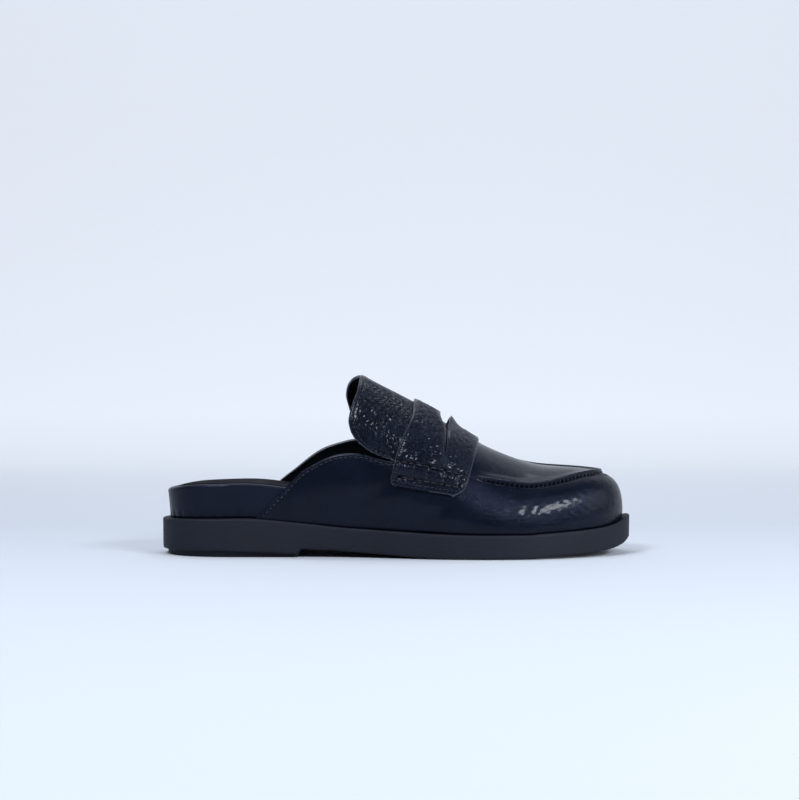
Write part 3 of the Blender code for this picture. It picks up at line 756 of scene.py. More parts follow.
def stitches_object(name: str, runs: Sequence[tuple[Array, list]], finish: bpy.types.Material
                    ) -> bpy.types.Object:
    """Join several runs of stitches into one piece.

    Args:
        name: Name of the piece.
        runs: Vertices and faces of each run.
        finish: The thread's material.

    Returns:
        The object.
    """
    points, faces, start = [], [], 0
    for run_points, run_faces in runs:
        points.append(run_points)
        faces += [[c + start for c in face] for face in run_faces]
        start += len(run_points)
    made = mesh_object(name, np.concatenate(points), faces, closed=True)
    made.data.materials.append(finish)
    return made


class Surface:
    """A Principled material under way, with short ways to add nodes to its tree."""

    def __init__(self, name: str) -> None:
        """Start with a plain Principled shader on the material's output."""
        self.material = bpy.data.materials.new(name)
        self.material.use_nodes = True
        self.tree = self.material.node_tree
        self.place = self.add("TexCoord").outputs

    def add(self, kind: str, links: dict | None = None, **settings: object) -> bpy.types.Node:
        """Add a node with its settings and links.

        Args:
            kind: Node type, without the words ShaderNode.
            links: From an input's name or number to the socket that feeds it.
            settings: Attributes, or inputs where the name starts with in_ and spaces are
                underscores.

        Returns:
            The node.
        """
        node = self.tree.nodes.new("ShaderNode" + kind)
        for key, value in settings.items():
            if key.startswith("in_"):
                name = key[3:].replace("_", " ")
                node.inputs[int(name) if name.isdigit() else name].default_value = value
            else:
                setattr(node, key, value)
        for key, socket in (links or {}).items():
            self.tree.links.new(socket, node.inputs[key])
        return node

    def noise(self, scale: float, detail: float = 2.0) -> bpy.types.NodeSocket:
        """Noise on the piece's own coordinates, with its waves to the metre."""
        return self.add("TexNoise", {"Vector": self.place["Object"]}, in_Scale=scale,
                        in_Detail=detail).outputs["Fac"]

    def bump(self, height: bpy.types.NodeSocket, strength: float, distance: float,
             under: bpy.types.NodeSocket | None = None) -> bpy.types.NodeSocket:
        """Relief of a height, laid over another relief if there is one.

        Args:
            height: What is raised.
            strength: Share of it that shows.
            distance: Its full height in metres.
            under: The relief below.

        Returns:
            The normal.
        """
        links = {"Height": height} if under is None else {"Height": height, "Normal": under}
        return self.add("Bump", links, in_Strength=strength, in_Distance=distance).outputs[0]

    def tone(self, factor: bpy.types.NodeSocket, dark: str, light: str) -> bpy.types.NodeSocket:
        """Colour between two hex colours."""
        mix = self.add("Mix", {"Factor": factor}, data_type="RGBA")
        mix.inputs["A"].default_value = linear(dark)
        mix.inputs["B"].default_value = linear(light)
        return mix.outputs["Result"]

    def dress(self, values: dict[str, object]) -> bpy.types.Material:
        """Feed the shader's inputs, each from a socket or with a constant.

        Args:
            values: From an input's name to what feeds it.

        Returns:
            The material.
        """
        shader = self.tree.nodes["Principled BSDF"]
        for name, value in values.items():
            if isinstance(value, bpy.types.NodeSocket):
                self.tree.links.new(value, shader.inputs[name])
            else:
                shader.inputs[name].default_value = value
        return self.material


@dataclass(frozen=True)
class Leather:
    """Box-grain leather, milled so that its finish crinkles: short wavy wrinkles that catch light
    as broken bright lines, with fine pores between, under a thin glossy top coat."""

    name: str
    dark: str = "#03050c"
    light: str = "#0a0f1e"
    wrinkle: float = 1.5 * MM
    wrinkle_depth: float = 0.5
    pore: float = 0.45 * MM
    pore_depth: float = 0.25
    stretch: float = 2.2
    turn: float = 25.0
    roughness: tuple[float, float] = (0.30, 0.46)
    shine: float = 0.30
    tint: str = "#b4c8f2"
    coat: float = 0.10
    coat_roughness: float = 0.12

    def build(self) -> bpy.types.Material:
        """Make the material from noise on the leather's own lengths.

        Returns:
            The material.
        """
        made = Surface(self.name)
        lay = made.add("Mapping", {"Vector": made.place["UV"]},
                       in_Rotation=(0.0, 0.0, math.radians(self.turn)),
                       in_Scale=(self.stretch, 1.0, 1.0))
        wrinkle = made.add("TexNoise", {"Vector": lay.outputs[0]}, in_Scale=1.0 / self.wrinkle,
                           in_Detail=3.0, in_Roughness=0.55, in_Distortion=0.6)
        fold = made.add("Math", {0: wrinkle.outputs["Fac"]}, operation="SUBTRACT", in_1=0.5)
        crest = made.add("Math", {0: fold.outputs[0]}, operation="ABSOLUTE")
        crease = made.add("MapRange", {"Value": crest.outputs[0]}, in_1=0.0, in_2=0.09)
        pores = made.add("TexVoronoi", {"Vector": made.place["Object"]}, in_Scale=1.0 / self.pore)
        pored = made.bump(pores.outputs["Distance"], self.pore_depth, 0.12 * MM)
        broad = made.noise(60.0)
        rough = made.add("MapRange", {"Value": broad}, in_1=0.3, in_2=0.7,
                         in_3=self.roughness[0], in_4=self.roughness[1])
        return made.dress({
            "Base Color": made.tone(broad, self.dark, self.light),
            "Roughness": rough.outputs[0],
            "Normal": made.bump(crease.outputs[0], self.wrinkle_depth, 0.70 * MM, pored),
            "IOR": 1.5, "Specular IOR Level": self.shine, "Specular Tint": linear(self.tint),
            "Coat Weight": self.coat, "Coat Roughness": self.coat_roughness,
        })


@dataclass(frozen=True)
class MouldedRubber:
    """Moulded rubber, buffed along the wall: matte, with fine level lines that catch light."""

    name: str = "moulded_rubber_outsole"
    dark: str = "#080b15"
    light: str = "#121826"
    line_pitch: float = 1.1 * MM

    def build(self) -> bpy.types.Material:
        """Make the material from level bands and dusty noise.

        Returns:
            The material.
        """
        made = Surface(self.name)
        lines = made.add("TexWave", {"Vector": made.place["Object"]}, wave_type="BANDS",
                         bands_direction="Z", in_Scale=2.0 * math.pi / (20.0 * self.line_pitch),
                         in_Distortion=2.5, in_Detail=2.0, in_Detail_Scale=0.4)
        dust = made.noise(900.0, 3.0)
        rough = made.add("MapRange", {"Value": dust}, in_3=0.55, in_4=0.75)
        return made.dress({
            "Base Color": made.tone(made.noise(35.0, 3.0), self.dark, self.light),
            "Roughness": rough.outputs[0],
            "Normal": made.bump(lines.outputs["Fac"], 0.30, 0.15 * MM,
                                made.bump(dust, 0.25, 0.10 * MM)),
            "IOR": 1.52, "Specular IOR Level": 0.25,
        })


@dataclass(frozen=True)
class WaxedThread:
    """Waxed polyester sewing thread: black with a soft shine and a fine twist."""

    name: str = "waxed_thread"
    colour: str = "#070912"

    def build(self) -> bpy.types.Material:
        """Make the material with a slanting twist.

        Returns:
            The material.
        """
        made = Surface(self.name)
        twist = made.add("TexWave", {"Vector": made.place["Object"]}, wave_type="BANDS",
                         bands_direction="DIAGONAL", in_Scale=520.0)
        return made.dress({"Base Color": linear(self.colour), "Roughness": 0.42,
                           "Normal": made.bump(twist.outputs["Fac"], 0.4, 0.1 * MM)})


@dataclass(frozen=True)
class EdgePaintAndHighlight:
    """Burnished and painted cut edge of leather: harder and shinier than the grain beside it. Its
    pale colour is partly the edge paint and partly a painted highlight, the light caught along the
    edge.
    """

    name: str = "painted_leather_edge_with_painted_highlight"
    # Pale grey: edge paint, lightened to paint the highlight the edge catches.
    colour: str = "#3c4150"

    def build(self) -> bpy.types.Material:
        """Make the material with a faint unevenness.

        Returns:
            The material.
        """
        made = Surface(self.name)
        return made.dress({"Base Color": linear(self.colour), "Roughness": 0.36,
                           "Normal": made.bump(made.noise(700.0), 0.3, 0.1 * MM)})


@dataclass
class Finishes:
    """All materials of the shoe, each made once."""

    upper: bpy.types.Material = field(default_factory=Leather(
        "glazed_crinkled_upper_leather", wrinkle=2.0 * MM, wrinkle_depth=0.20, pore_depth=0.20,
        roughness=(0.20, 0.32), shine=0.14, coat=0.16, coat_roughness=0.13).build)
    flap: bpy.types.Material = field(default_factory=Leather(
        "milled_crinkled_tongue_leather", light="#0f1528", wrinkle=1.5 * MM, wrinkle_depth=1.0,
        pore_depth=0.40, roughness=(0.20, 0.32), shine=0.30, coat=0.22, turn=20.0).build)
    strap: bpy.types.Material = field(default_factory=Leather(
        "milled_crinkled_strap_leather", light="#0e1426", wrinkle=1.6 * MM, wrinkle_depth=0.80,
        pore_depth=0.35, roughness=(0.20, 0.32), shine=0.26, coat=0.20, turn=-30.0).build)
    lining: bpy.types.Material = field(default_factory=Leather(
        "plain_lining_leather", dark="#050506", light="#09090b", wrinkle=3.0 * MM,
        wrinkle_depth=0.15, roughness=(0.60, 0.75), shine=0.12, coat=0.0).build)
    wrap: bpy.types.Material = field(default_factory=Leather(
        "smooth_footbed_wrap", dark="#070a12", light="#0f1421", wrinkle=3.0 * MM,
        wrinkle_depth=0.08, pore_depth=0.15, roughness=(0.34, 0.44), shine=0.20, coat=0.05).build)
    rubber: bpy.types.Material = field(default_factory=MouldedRubber().build)
    thread: bpy.types.Material = field(default_factory=WaxedThread().build)
    # Pale edge colour: edge paint and a painted highlight.
    edge: bpy.types.Material = field(default_factory=EdgePaintAndHighlight().build)


def hand_in(piece: bpy.types.Object, node: str | None = None) -> None:
    """Tie a piece to the frame and report it.

    Args:
        piece: The finished piece.
        node: The solid it stands for, if any.
    """
    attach(piece, BODY)
    if node:
        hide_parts(node)
    LOG.info("%s: %d faces", piece.name, len(piece.data.polygons))


@dataclass
class Outsole:
    """Moulded rubber unit: straight wall, softened top edge and a heel lift set in under it."""

    edge: float = 0.9 * MM
    lift_height: float = 3.4 * MM
    lift_inset: float = 3.0 * MM
    tread_inset: float = 8.0 * MM
    top_insets: tuple[float, float] = (14.0 * MM, 4.0 * MM)
    draft: float = 0.2
    sharp_angle: float = 50.0
    count: int = 300

    def side_end(self, x: Array) -> Array:
        """Lower end of the side wall."""
        rows = np.array(LAST.lift_rows)
        return LAST.floor(x) + self.lift_height * np.interp(x / LAST.length, rows[:, 0], rows[:, 1])

    def recess_top(self, x: Array) -> Array:
        """Top of the recess beside the heel lift, a hair under the wall's lower end."""
        return np.maximum(self.side_end(x) - 0.1 * MM, LAST.floor(x))

    def build(self, finishes: Finishes) -> None:
        """Loft the unit: quarter rounds on both edges of the wall, then recess and tread."""
        turns = even_turns(self.count)
        rings = [ring(turns, self.edge + inset, LAST.sole_top) for inset in self.top_insets]
        for angle in np.linspace(0.0, 0.5 * math.pi, 6):
            inset = self.edge * (1.0 - math.sin(angle))
            drop = self.edge * (1.0 - math.cos(angle))
            rings.append(ring(turns, inset, lambda x, d=drop: LAST.sole_top(x) - d))
        for share in np.linspace(0.1, 0.9, 7):
            rings.append(ring(turns, self.draft * self.edge * share, lambda x, s=share: (
                (1.0 - s) * (LAST.sole_top(x) - self.edge) + s * (self.side_end(x) + self.edge))))
        for angle in np.linspace(0.0, 0.5 * math.pi, 5):
            inset = self.edge * (self.draft + (1.0 - self.draft) * (1.0 - math.cos(angle)))
            rise = self.edge * (1.0 - math.sin(angle))
            rings.append(ring(turns, inset, lambda x, r=rise: self.side_end(x) + r))
        rings += [
            ring(turns, self.lift_inset, self.recess_top),
            ring(turns, self.lift_inset + 0.15 * self.edge, lambda x: (
                LAST.floor(x) + 0.25 * (self.recess_top(x) - LAST.floor(x)))),
            ring(turns, self.lift_inset + 0.5 * self.edge, LAST.floor),
            ring(turns, self.lift_inset + self.tread_inset, LAST.floor),
        ]
        made = loft_object("outsole_unit", rings, finishes.rubber)
        made.data.set_sharp_from_angle(angle=math.radians(self.sharp_angle))
        hand_in(made, "outsole")


@dataclass
class Footbed:
    """Thick wrapped midsole: a smooth wall that flares to a rounded rim, with small pleats where
    the wrap is pulled under at the back, and the sock in its cup."""

    insole_wall: float = 1.2 * MM
    pleat_pitch: float = 7.5 * MM
    pleat_depth: float = 0.60 * MM
    heel_step_out: float = 1.6 * MM
    count: int = 260

    def flare(self, x: Array) -> Array:
        """Outward lean of the wall at its top: none where the upper lies against it."""
        return LAST.bed_flare * (1.0 - ramp(x / LAST.length, 0.140, 0.200))

    def pleats(self, turns: Array, x: Array, height: float) -> Array:
        """Small pleats at the foot of the wall, a sine of the way round, only at the heel."""
        plan = LAST.outline(turns)
        fold = np.abs(np.sin(math.pi * lengths_along(plan) / self.pleat_pitch)) ** 6
        return self.pleat_depth * fold * (1.0 - ramp(height, 0.0, 0.45)) * (
            1.0 - ramp(x / LAST.length, 0.18, 0.22))

    def build(self, finishes: Finishes) -> None:
        """Loft the bed from the cup over the rim and down the wall, then the sock over it."""
        turns = even_turns(self.count)
        x = LAST.outline(turns)[:, 0]
        flare = self.flare(x)
        inset_here = LAST.bed_inset - self.heel_step_out * (1.0 - ramp(x / LAST.length, 0.01, 0.12))
        rim = inset_here - flare
        radius = LAST.rim_radius
        rings = [ring(turns, inset, lambda y, i=inset: LAST.bed(y, i))
                 for inset in LAST.seat_width * np.array((LAST.cup_reach, 0.29, 0.24, 0.20, 0.16))]
        for angle in np.linspace(-0.9, 0.5 * math.pi, 9):
            inset = rim + radius * (1.0 - math.sin(angle))
            drop = radius * (1.0 - math.cos(angle))
            rings.append(ring(turns, inset, lambda y, d=drop: LAST.rim(y) - d))
        for share in np.linspace(0.06, 1.0, 16):
            inset = rim + flare * share ** 0.8 + self.pleats(turns, x, 1.0 - share)
            rings.append(ring(turns, inset, lambda y, s=share: (
                (1.0 - s) * (LAST.rim(y) - radius) + s * (LAST.sole_top(y) + LAST.gap))))
        made = loft_object("wrapped_footbed", rings, finishes.wrap)
        hand_in(made, "footbed")
        self.build_sock(finishes)

    def build_sock(self, finishes: Finishes) -> None:
        """Loft the thin sock that lies in the cup."""
        turns = even_turns(160)
        edge = LAST.bed_inset + 2.4 * LAST.rim_radius
        insets = np.concatenate(((edge,), np.linspace(
            edge + 0.5 * MM, LAST.cup_reach * LAST.seat_width, 9)))

        def face(inset: float, lift: float) -> Array:
            """One ring at a height over the bed."""
            return ring(turns, inset, lambda y: LAST.bed(y, inset) + LAST.gap + lift)

        top = [face(inset, self.insole_wall) for inset in insets[:0:-1]]
        top.append(face(edge + 0.12 * MM, 0.9 * self.insole_wall))
        top.append(face(edge, 0.6 * self.insole_wall))
        made = loft_object("sock", top + [face(inset, 0.0) for inset in insets], finishes.lining)
        hand_in(made, "insole")


@dataclass(frozen=True)
class Crease:
    """A soft trough laid on the upper, between two places given as the distance from the
    heel's back and the height over the floor."""

    side: Side
    start: tuple[float, float]
    end: tuple[float, float]
    depth: float
    width: float

    def depth_at(self, points: Array) -> Array:
        """Depth of the trough at points, with a low ridge on both its sides."""
        a, b = np.array(self.start), np.array(self.end)
        place = points[..., (0, 2)] - a
        run = b - a
        f = np.clip((place @ run) / (run @ run), -0.3, 1.3)
        off = np.linalg.norm(place - f[..., None] * run, axis=-1)
        fade = ramp(f, -0.25, 0.2) * (1.0 - ramp(f, 0.8, 1.25))
        return -self.depth * fade * (bell(off, self.width) - 0.45 * bell(off, 2.2 * self.width))


@dataclass
class Upper:
    """Vamp and quarters: one leather wall with the raised moc-toe seam, its gathers and creases."""

    wall: float = 1.7 * MM
    pipe_raise: float = 2.0 * MM
    pipe_width: float = 1.25 * MM
    groove_depth: float = 1.2 * MM
    groove_width: float = 0.65 * MM
    seam_start: float = 0.655
    seam_full: float = 0.700
    gather_pitch: float = 2.7 * MM
    gather_depth: float = 0.32 * MM
    stations: int = 250
    gather_drop: float = 2.4 * MM
    gather_reach: float = 2.6 * MM
    swell_height: float = 0.10 * MM
    swell_waves: tuple[float, float, float] = (11.0 * MM, 7.5 * MM, 26.0 * MM)
    toe_crinkle: Crinkle = Crinkle(3.2 * MM, 0.045 * MM, 75.0)
    rim: RolledEdge = RolledEdge(0.55 * MM, 1.1 * MM, 2.1 * MM, 0.22 * MM, 0.5 * MM)
    edge_thread: Thread = Thread(0.30 * MM, 2.9 * MM, 2.1 * MM, 0.24 * MM)
    moc_thread: Thread = Thread(0.22 * MM, 2.7 * MM, 1.9 * MM, 0.12 * MM)
    creases: tuple[Crease, ...] = (
        Crease(Side.OUTER, (0.203, 0.021), (0.208, 0.029), 0.35 * MM, 1.8 * MM),
        Crease(Side.OUTER, (0.209, 0.022), (0.214, 0.029), 0.25 * MM, 1.3 * MM),
        Crease(Side.OUTER, (0.196, 0.020), (0.198, 0.028), 0.20 * MM, 2.0 * MM),
        Crease(Side.OUTER, (0.150, 0.022), (0.168, 0.030), 0.35 * MM, 4.5 * MM),
        Crease(Side.OUTER, (0.110, 0.030), (0.135, 0.042), 0.30 * MM, 5.0 * MM),
        Crease(Side.INNER, (0.196, 0.024), (0.206, 0.040), 0.45 * MM, 2.6 * MM),
        Crease(Side.INNER, (0.210, 0.026), (0.219, 0.040), 0.35 * MM, 2.2 * MM),
        Crease(Side.INNER, (0.140, 0.026), (0.165, 0.036), 0.35 * MM, 4.5 * MM),
    )

    def station_places(self, side: Side) -> Array:
        """Places of the ribs: even up to the fan, then closer together towards the toe tip."""
        first = LAST.collar_rows(side)[0][0] * LAST.length
        fan, tip = LAST.fan_start * LAST.length, LAST.toe_reach()
        throat = LAST.throat * LAST.length
        rear, mid = int(0.42 * self.stations), int(0.16 * self.stations)
        toe = self.stations - rear - mid
        return np.concatenate((np.linspace(first, throat, rear, endpoint=False),
                               np.linspace(throat, fan, mid, endpoint=False),
                               fan + (tip - fan) * np.sin(np.linspace(0.0, 0.5 * math.pi, toe))))

    def seam_profile(self, off: Array) -> Array:
        """Section across the seam: a round pipe on the apron's side and a stitched groove."""
        pipe = np.sqrt(np.clip(1.0 - ((off - self.pipe_width) / self.pipe_width) ** 2, 0.0, 1.0))
        shoulder = ramp(off, 0.9 * self.pipe_width, 1.8 * self.pipe_width) * (
            1.0 - ramp(off, 2.0 * self.pipe_width, 7.0 * MM))
        groove = bell(off + 0.9 * self.groove_width, self.groove_width)
        return (self.pipe_raise * np.maximum(pipe, 0.45 * shoulder) - self.groove_depth * groove)

    def face(self, side: Side) -> tuple[Array, Array, Array, Array, Array]:
        """Grid of one half.

        Args:
            side: Which half.

        Returns:
            Points, the ribs' places, ways and lengths along the ribs, and the seam's lengths.
        """
        x = self.station_places(side)
        dense, ribs, way = LAST.rib_lengths(side, x)
        inward = np.linalg.norm(ribs[..., :2] - ribs[:, -1:, :2], axis=-1)
        inward = np.maximum.accumulate(inward[:, :1] - inward, axis=1)
        share = x / LAST.length
        place = LAST.ball_width * steady(LAST.seam_rows, 1 if side is Side.OUTER else 2, share)
        seam = np.array([np.interp(p, row, w) for p, row, w in zip(place, inward, way)])
        near = np.concatenate((np.linspace(-4.2, -1.8, 5), np.linspace(-1.5, 3.0, 25),
                               np.linspace(3.4, 8.0, 8))) * MM
        wall_share = np.linspace(0.0, 1.0, 36)[:-1]
        apron_share = np.linspace(0.0, 1.0, 27)[1:]
        fore = np.concatenate((wall_share[None, :] * (seam + near[0])[:, None],
                               seam[:, None] + near[None, :],
                               (seam + near[-1])[:, None] + apron_share[None, :]
                               * (way[:, -1] - seam - near[-1])[:, None]), axis=1)
        tops = LAST.collar_t(side, x)
        length = np.array([np.interp(top, dense, row) for top, row in zip(tops, way)])
        blend = ramp(share, 0.42, LAST.throat)[:, None]
        flat = np.linspace(0.0, 1.0, fore.shape[1])[None, :]
        back = length[:, None] * (flat * (1.0 - blend) + blend * fore / fore[:, -1:])
        front = ramp(share, LAST.throat - 0.01, 0.648)[:, None]
        lengths = back * (1.0 - front) + fore * front
        t = crossing(way, dense, lengths)
        return LAST.ribs(side, x[:, None], t), x, t, lengths, seam

    def gathers(self, from_tip: Array, off: Array) -> Array:
        """Small pleats under the seam: a raised cosine of the way from the toe tip."""
        wave = 0.5 + 0.5 * np.cos(2.0 * math.pi * from_tip / self.gather_pitch)
        near = bell(off + self.gather_drop, self.gather_reach) * (off < 0.0)
        return -self.gather_depth * wave * near

    def swell(self, from_tip: Array, lengths: Array) -> Array:
        """Long low swell of lasted leather: a product of three cosines, none beside the sole."""
        around, upward, slow = self.swell_waves
        wave = np.cos(from_tip / around) * np.cos(lengths / upward) * np.cos(from_tip / slow)
        return self.swell_height * wave * ramp(lengths, 2.0 * MM, 10.0 * MM)

    def shaped(self, side: Side) -> Patch:
        """One half with its seam, gathers, creases, rolled edge and stitch line."""
        points, x, t, lengths, seam = self.face(side)
        share = (x / LAST.length)[:, None]
        off = lengths - seam[:, None]
        around = lengths_along(points[:, 0, :])[:, None]
        from_tip = around[-1] - around
        cloth = np.stack(np.broadcast_arrays(around, lengths), axis=-1)
        to_edge = lengths[:, -1:] - lengths
        open_top = 1.0 - ramp(share, LAST.throat - 0.015, LAST.throat - 0.002)
        off_ridge = open_top + (1.0 - open_top) * ramp(to_edge, 0.0, 14.0 * MM)
        on_toe = ramp(share, 0.60, 0.78) * (1.0 - ramp(share, 0.955, 0.975))
        on_wall = ramp(lengths, 3.0 * MM, 9.0 * MM) * ramp(-off, 3.0 * MM, 7.0 * MM)
        lift = ramp(share, self.seam_start, self.seam_full) * (
            self.seam_profile(off) + self.gathers(from_tip, off))
        lift += sum(crease.depth_at(points) for crease in self.creases if crease.side is side)
        lift += self.swell(from_tip, lengths) * off_ridge
        lift += on_toe * on_wall * self.toe_crinkle.height(cloth)
        lift += open_top * self.rim.lift(to_edge)
        points = points + LAST.outward(side, x[:, None], t) * lift[..., None]
        return Patch(points, cloth, side is Side.INNER, np.where(open_top > 0.5, to_edge, FAR))

    def edge_line(self, side: Side) -> tuple[Array, Array]:
        """Line of the edge stitching, a little inside the collar."""
        x = np.linspace(LAST.collar_rows(side)[0][0] + 0.012, 0.522, 200) * LAST.length
        dense, _, way = LAST.rib_lengths(side, x)
        top = np.array([np.interp(v, dense, row) for v, row in zip(LAST.collar_t(side, x), way)])
        slant = np.gradient(top, x)
        t = crossing(way, dense, (top - self.rim.inset * np.sqrt(1.0 + slant ** 2))[:, None])
        points = LAST.ribs(side, x[:, None], t)[:, 0]
        return points, LAST.outward(side, x[:, None], t)[:, 0]

    def seam_line(self, side: Side, shift: float) -> tuple[Array, Array]:
        """A line beside the moc seam, from the strap to the toe tip."""
        _, x, _, _, seam = self.face(side)
        keep = x / LAST.length > self.seam_start + 0.004
        x, seam = x[keep], seam[keep]
        dense, _, way = LAST.rib_lengths(side, x)
        t = crossing(way, dense, (seam + shift)[:, None])
        return LAST.ribs(side, x[:, None], t)[:, 0], LAST.outward(side, x[:, None], t)[:, 0]

    def build(self, finishes: Finishes) -> None:
        """Make the wall and its two kinds of stitches."""
        made = skin_object("vamp_and_quarters", [self.shaped(side) for side in Side], self.wall,
                           (finishes.upper, finishes.lining, finishes.edge))
        hand_in(made, "upper")
        runs = [self.edge_thread.run(*self.edge_line(side)) for side in Side]
        runs += [self.moc_stitches(side) for side in Side]
        hand_in(stitches_object("upper_stitches", runs, finishes.thread))

    def moc_stitches(self, side: Side) -> tuple[Array, list]:
        """Hand-sewn stitches that climb out of the groove onto the pipe, all slanting one way."""
        low, up = self.seam_line(side, -1.0 * MM)
        high, _ = self.seam_line(side, 0.9 * MM)
        way = lengths_along(low)
        places = self.moc_thread.centres(way[-1])
        normal = unit(read_along(up, way, places))
        foot = read_along(low, way, places - 0.5 * MM) - normal * 0.55 * MM
        head = read_along(high, way, places + 0.5 * MM) + normal * 1.25 * MM
        travel = unit(head - foot)
        across = unit(np.cross(travel, normal))
        return self.moc_thread.tubes(0.5 * (foot + head), travel, unit(np.cross(across, travel)),
                                     across, np.linalg.norm(head - foot, axis=1))


class Covering:
    """A piece that lies over the upper, each of its ribs from a lower end of its own."""

    def low_t(self, side: Side, x: Array) -> Array:
        """Lower end of the piece on the rib at each place."""
        raise NotImplementedError

    def rib_t(self, side: Side, x: Array, share: Array) -> Array:
        """Ways along the last's ribs at shares from the piece's lower end to the ridge."""
        low = self.low_t(side, x)
        return low + (1.0 - low) * share


@dataclass
class Tongue(Covering):
    """Wide tongue lying over the instep, its rounded wings outside the quarters."""

    wall: float = 1.5 * MM
    front: float = 0.575
    low: dict = field(default_factory=lambda: {Side.OUTER: 53.0 * MM, Side.INNER: 58.0 * MM})
    rear_rows: dict = field(default_factory=lambda: {
        Side.OUTER: ((0.000, 0.500), (0.031, 0.483), (0.044, 0.469), (0.069, 0.448), (0.113, 0.426),
                     (0.150, 0.413), (0.206, 0.404), (0.275, 0.400), (0.331, 0.402),
                     (0.425, 0.4075), (0.588, 0.417), (0.800, 0.420), (1.000, 0.4205)),
        Side.INNER: ((0.000, 0.500), (0.030, 0.478), (0.070, 0.446), (0.120, 0.422), (0.200, 0.405),
                     (0.356, 0.3940), (0.481, 0.3887), (0.562, 0.390), (0.744, 0.4013),
                     (0.880, 0.414), (1.000, 0.4205)),
    })
    crinkle: Crinkle = Crinkle(3.0 * MM, 0.15 * MM, 60.0)
    rim: RolledEdge = RolledEdge(0.6 * MM, 1.2 * MM, 2.6 * MM, 0.28 * MM, 0.55 * MM)
    thread: Thread = Thread(0.28 * MM, 2.7 * MM, 1.9 * MM, 0.22 * MM)

    def low_t(self, side: Side, x: Array) -> Array:
        """Lower end of the tongue on the rib at each place."""
        sample = np.linspace(0.38, 0.60, 120) * LAST.length
        return np.interp(x, sample, LAST.t_at_height(side, sample, np.array(self.low[side])))

    def surface(self, side: Side, across: Array, along: Array) -> tuple[Array, Array]:
        """Places of the tongue's grid: where on the last, and the way along its ribs.

        Args:
            side: Which half.
            across: Shares from the lower end to the ridge.
            along: Shares from the rear edge to the hidden front.

        Returns:
            Places x and ways t.
        """
        rear = LAST.length * steady(self.rear_rows[side], 1, across)
        x = rear + (self.front * LAST.length - rear) * along
        return x, self.rib_t(side, x, across)

    def build(self, finishes: Finishes) -> None:
        """Make the tongue with its rolled edge, its crinkles and its stitches."""
        across = even_parts((0.0, 0.12, 22), (0.12, 1.0, 126))
        along = even_parts((0.0, 0.06, 9), (0.06, 1.0, 84))
        patches = []
        for side in Side:
            x, t = self.surface(side, across[:, None], along[None, :])
            base = LAST.ribs(side, x, t)
            to_edge = self.edge_distance(side, base)
            calm = 0.2 + 0.8 * ramp(to_edge, 2.0 * MM, 6.0 * MM)
            calm = calm * ramp(1.0 - across[:, None], 0.0, 0.25)
            lift = LAST.gap + self.wall + self.rim.lift(to_edge)
            lift += calm * self.crinkle.height(cloth_lengths(base))
            points = base + LAST.outward(side, x, t) * lift[..., None]
            patches.append(Patch(points, cloth_lengths(points), side is Side.OUTER, to_edge))
        made = skin_object("tongue_flap", patches, self.wall, (finishes.flap, finishes.lining,
                                                              finishes.edge))
        hand_in(made, "tongue")
        runs = [self.thread.run(*self.edge_line())]
        hand_in(stitches_object("tongue_stitches", runs, finishes.thread))

    def edge_distance(self, side: Side, base: Array) -> Array:
        """Shortest distance from each grid point to the tongue's rear and lower edges."""
        ends = np.linspace(0.0, 1.0, 240)
        x, t = self.surface(side, ends, np.zeros_like(ends))
        rear = LAST.ribs(side, x, t)
        x, t = self.surface(side, np.zeros(60), np.linspace(0.0, 1.0, 60))
        edge = np.concatenate((rear, LAST.ribs(side, x, t)))
        return nearest(base, edge)

    def edge_line(self) -> tuple[Array, Array]:
        """Line of the edge stitching round the rear edge, from wing to wing over the ridge."""
        lines, normals = [], []
        for side, order in ((Side.OUTER, 1), (Side.INNER, -1)):
            ends = np.linspace(0.035, 1.0, 160)
            x, t = self.surface(side, ends, np.zeros_like(ends))
            x = x + self.rim.inset * (1.0 + 0.25 * (1.0 - ramp(ends, 0.0, 0.4)))
            t = np.where(ends < 0.3, t + 0.012 * (1.0 - ends / 0.3), t)
            normal = LAST.outward(side, x, t)
            sunk = LAST.gap + self.wall - 0.1 * MM
            lines.append((LAST.ribs(side, x, t) + normal * sunk)[::order])
            normals.append(normal[::order])
        return np.concatenate(lines), np.concatenate(normals)


def nearest(points: Array, line: Array) -> Array:
    """Distance from each point to the nearest point of a line, in blocks to spare memory."""
    flat = points.reshape(-1, 3)
    found = np.empty(len(flat))
    for start in range(0, len(flat), 4000):
        apart = flat[start:start + 4000, None, :] - line[None, :, :]
        found[start:start + 4000] = np.sqrt((apart ** 2).sum(-1).min(1))
    return found.reshape(points.shape[:-1])


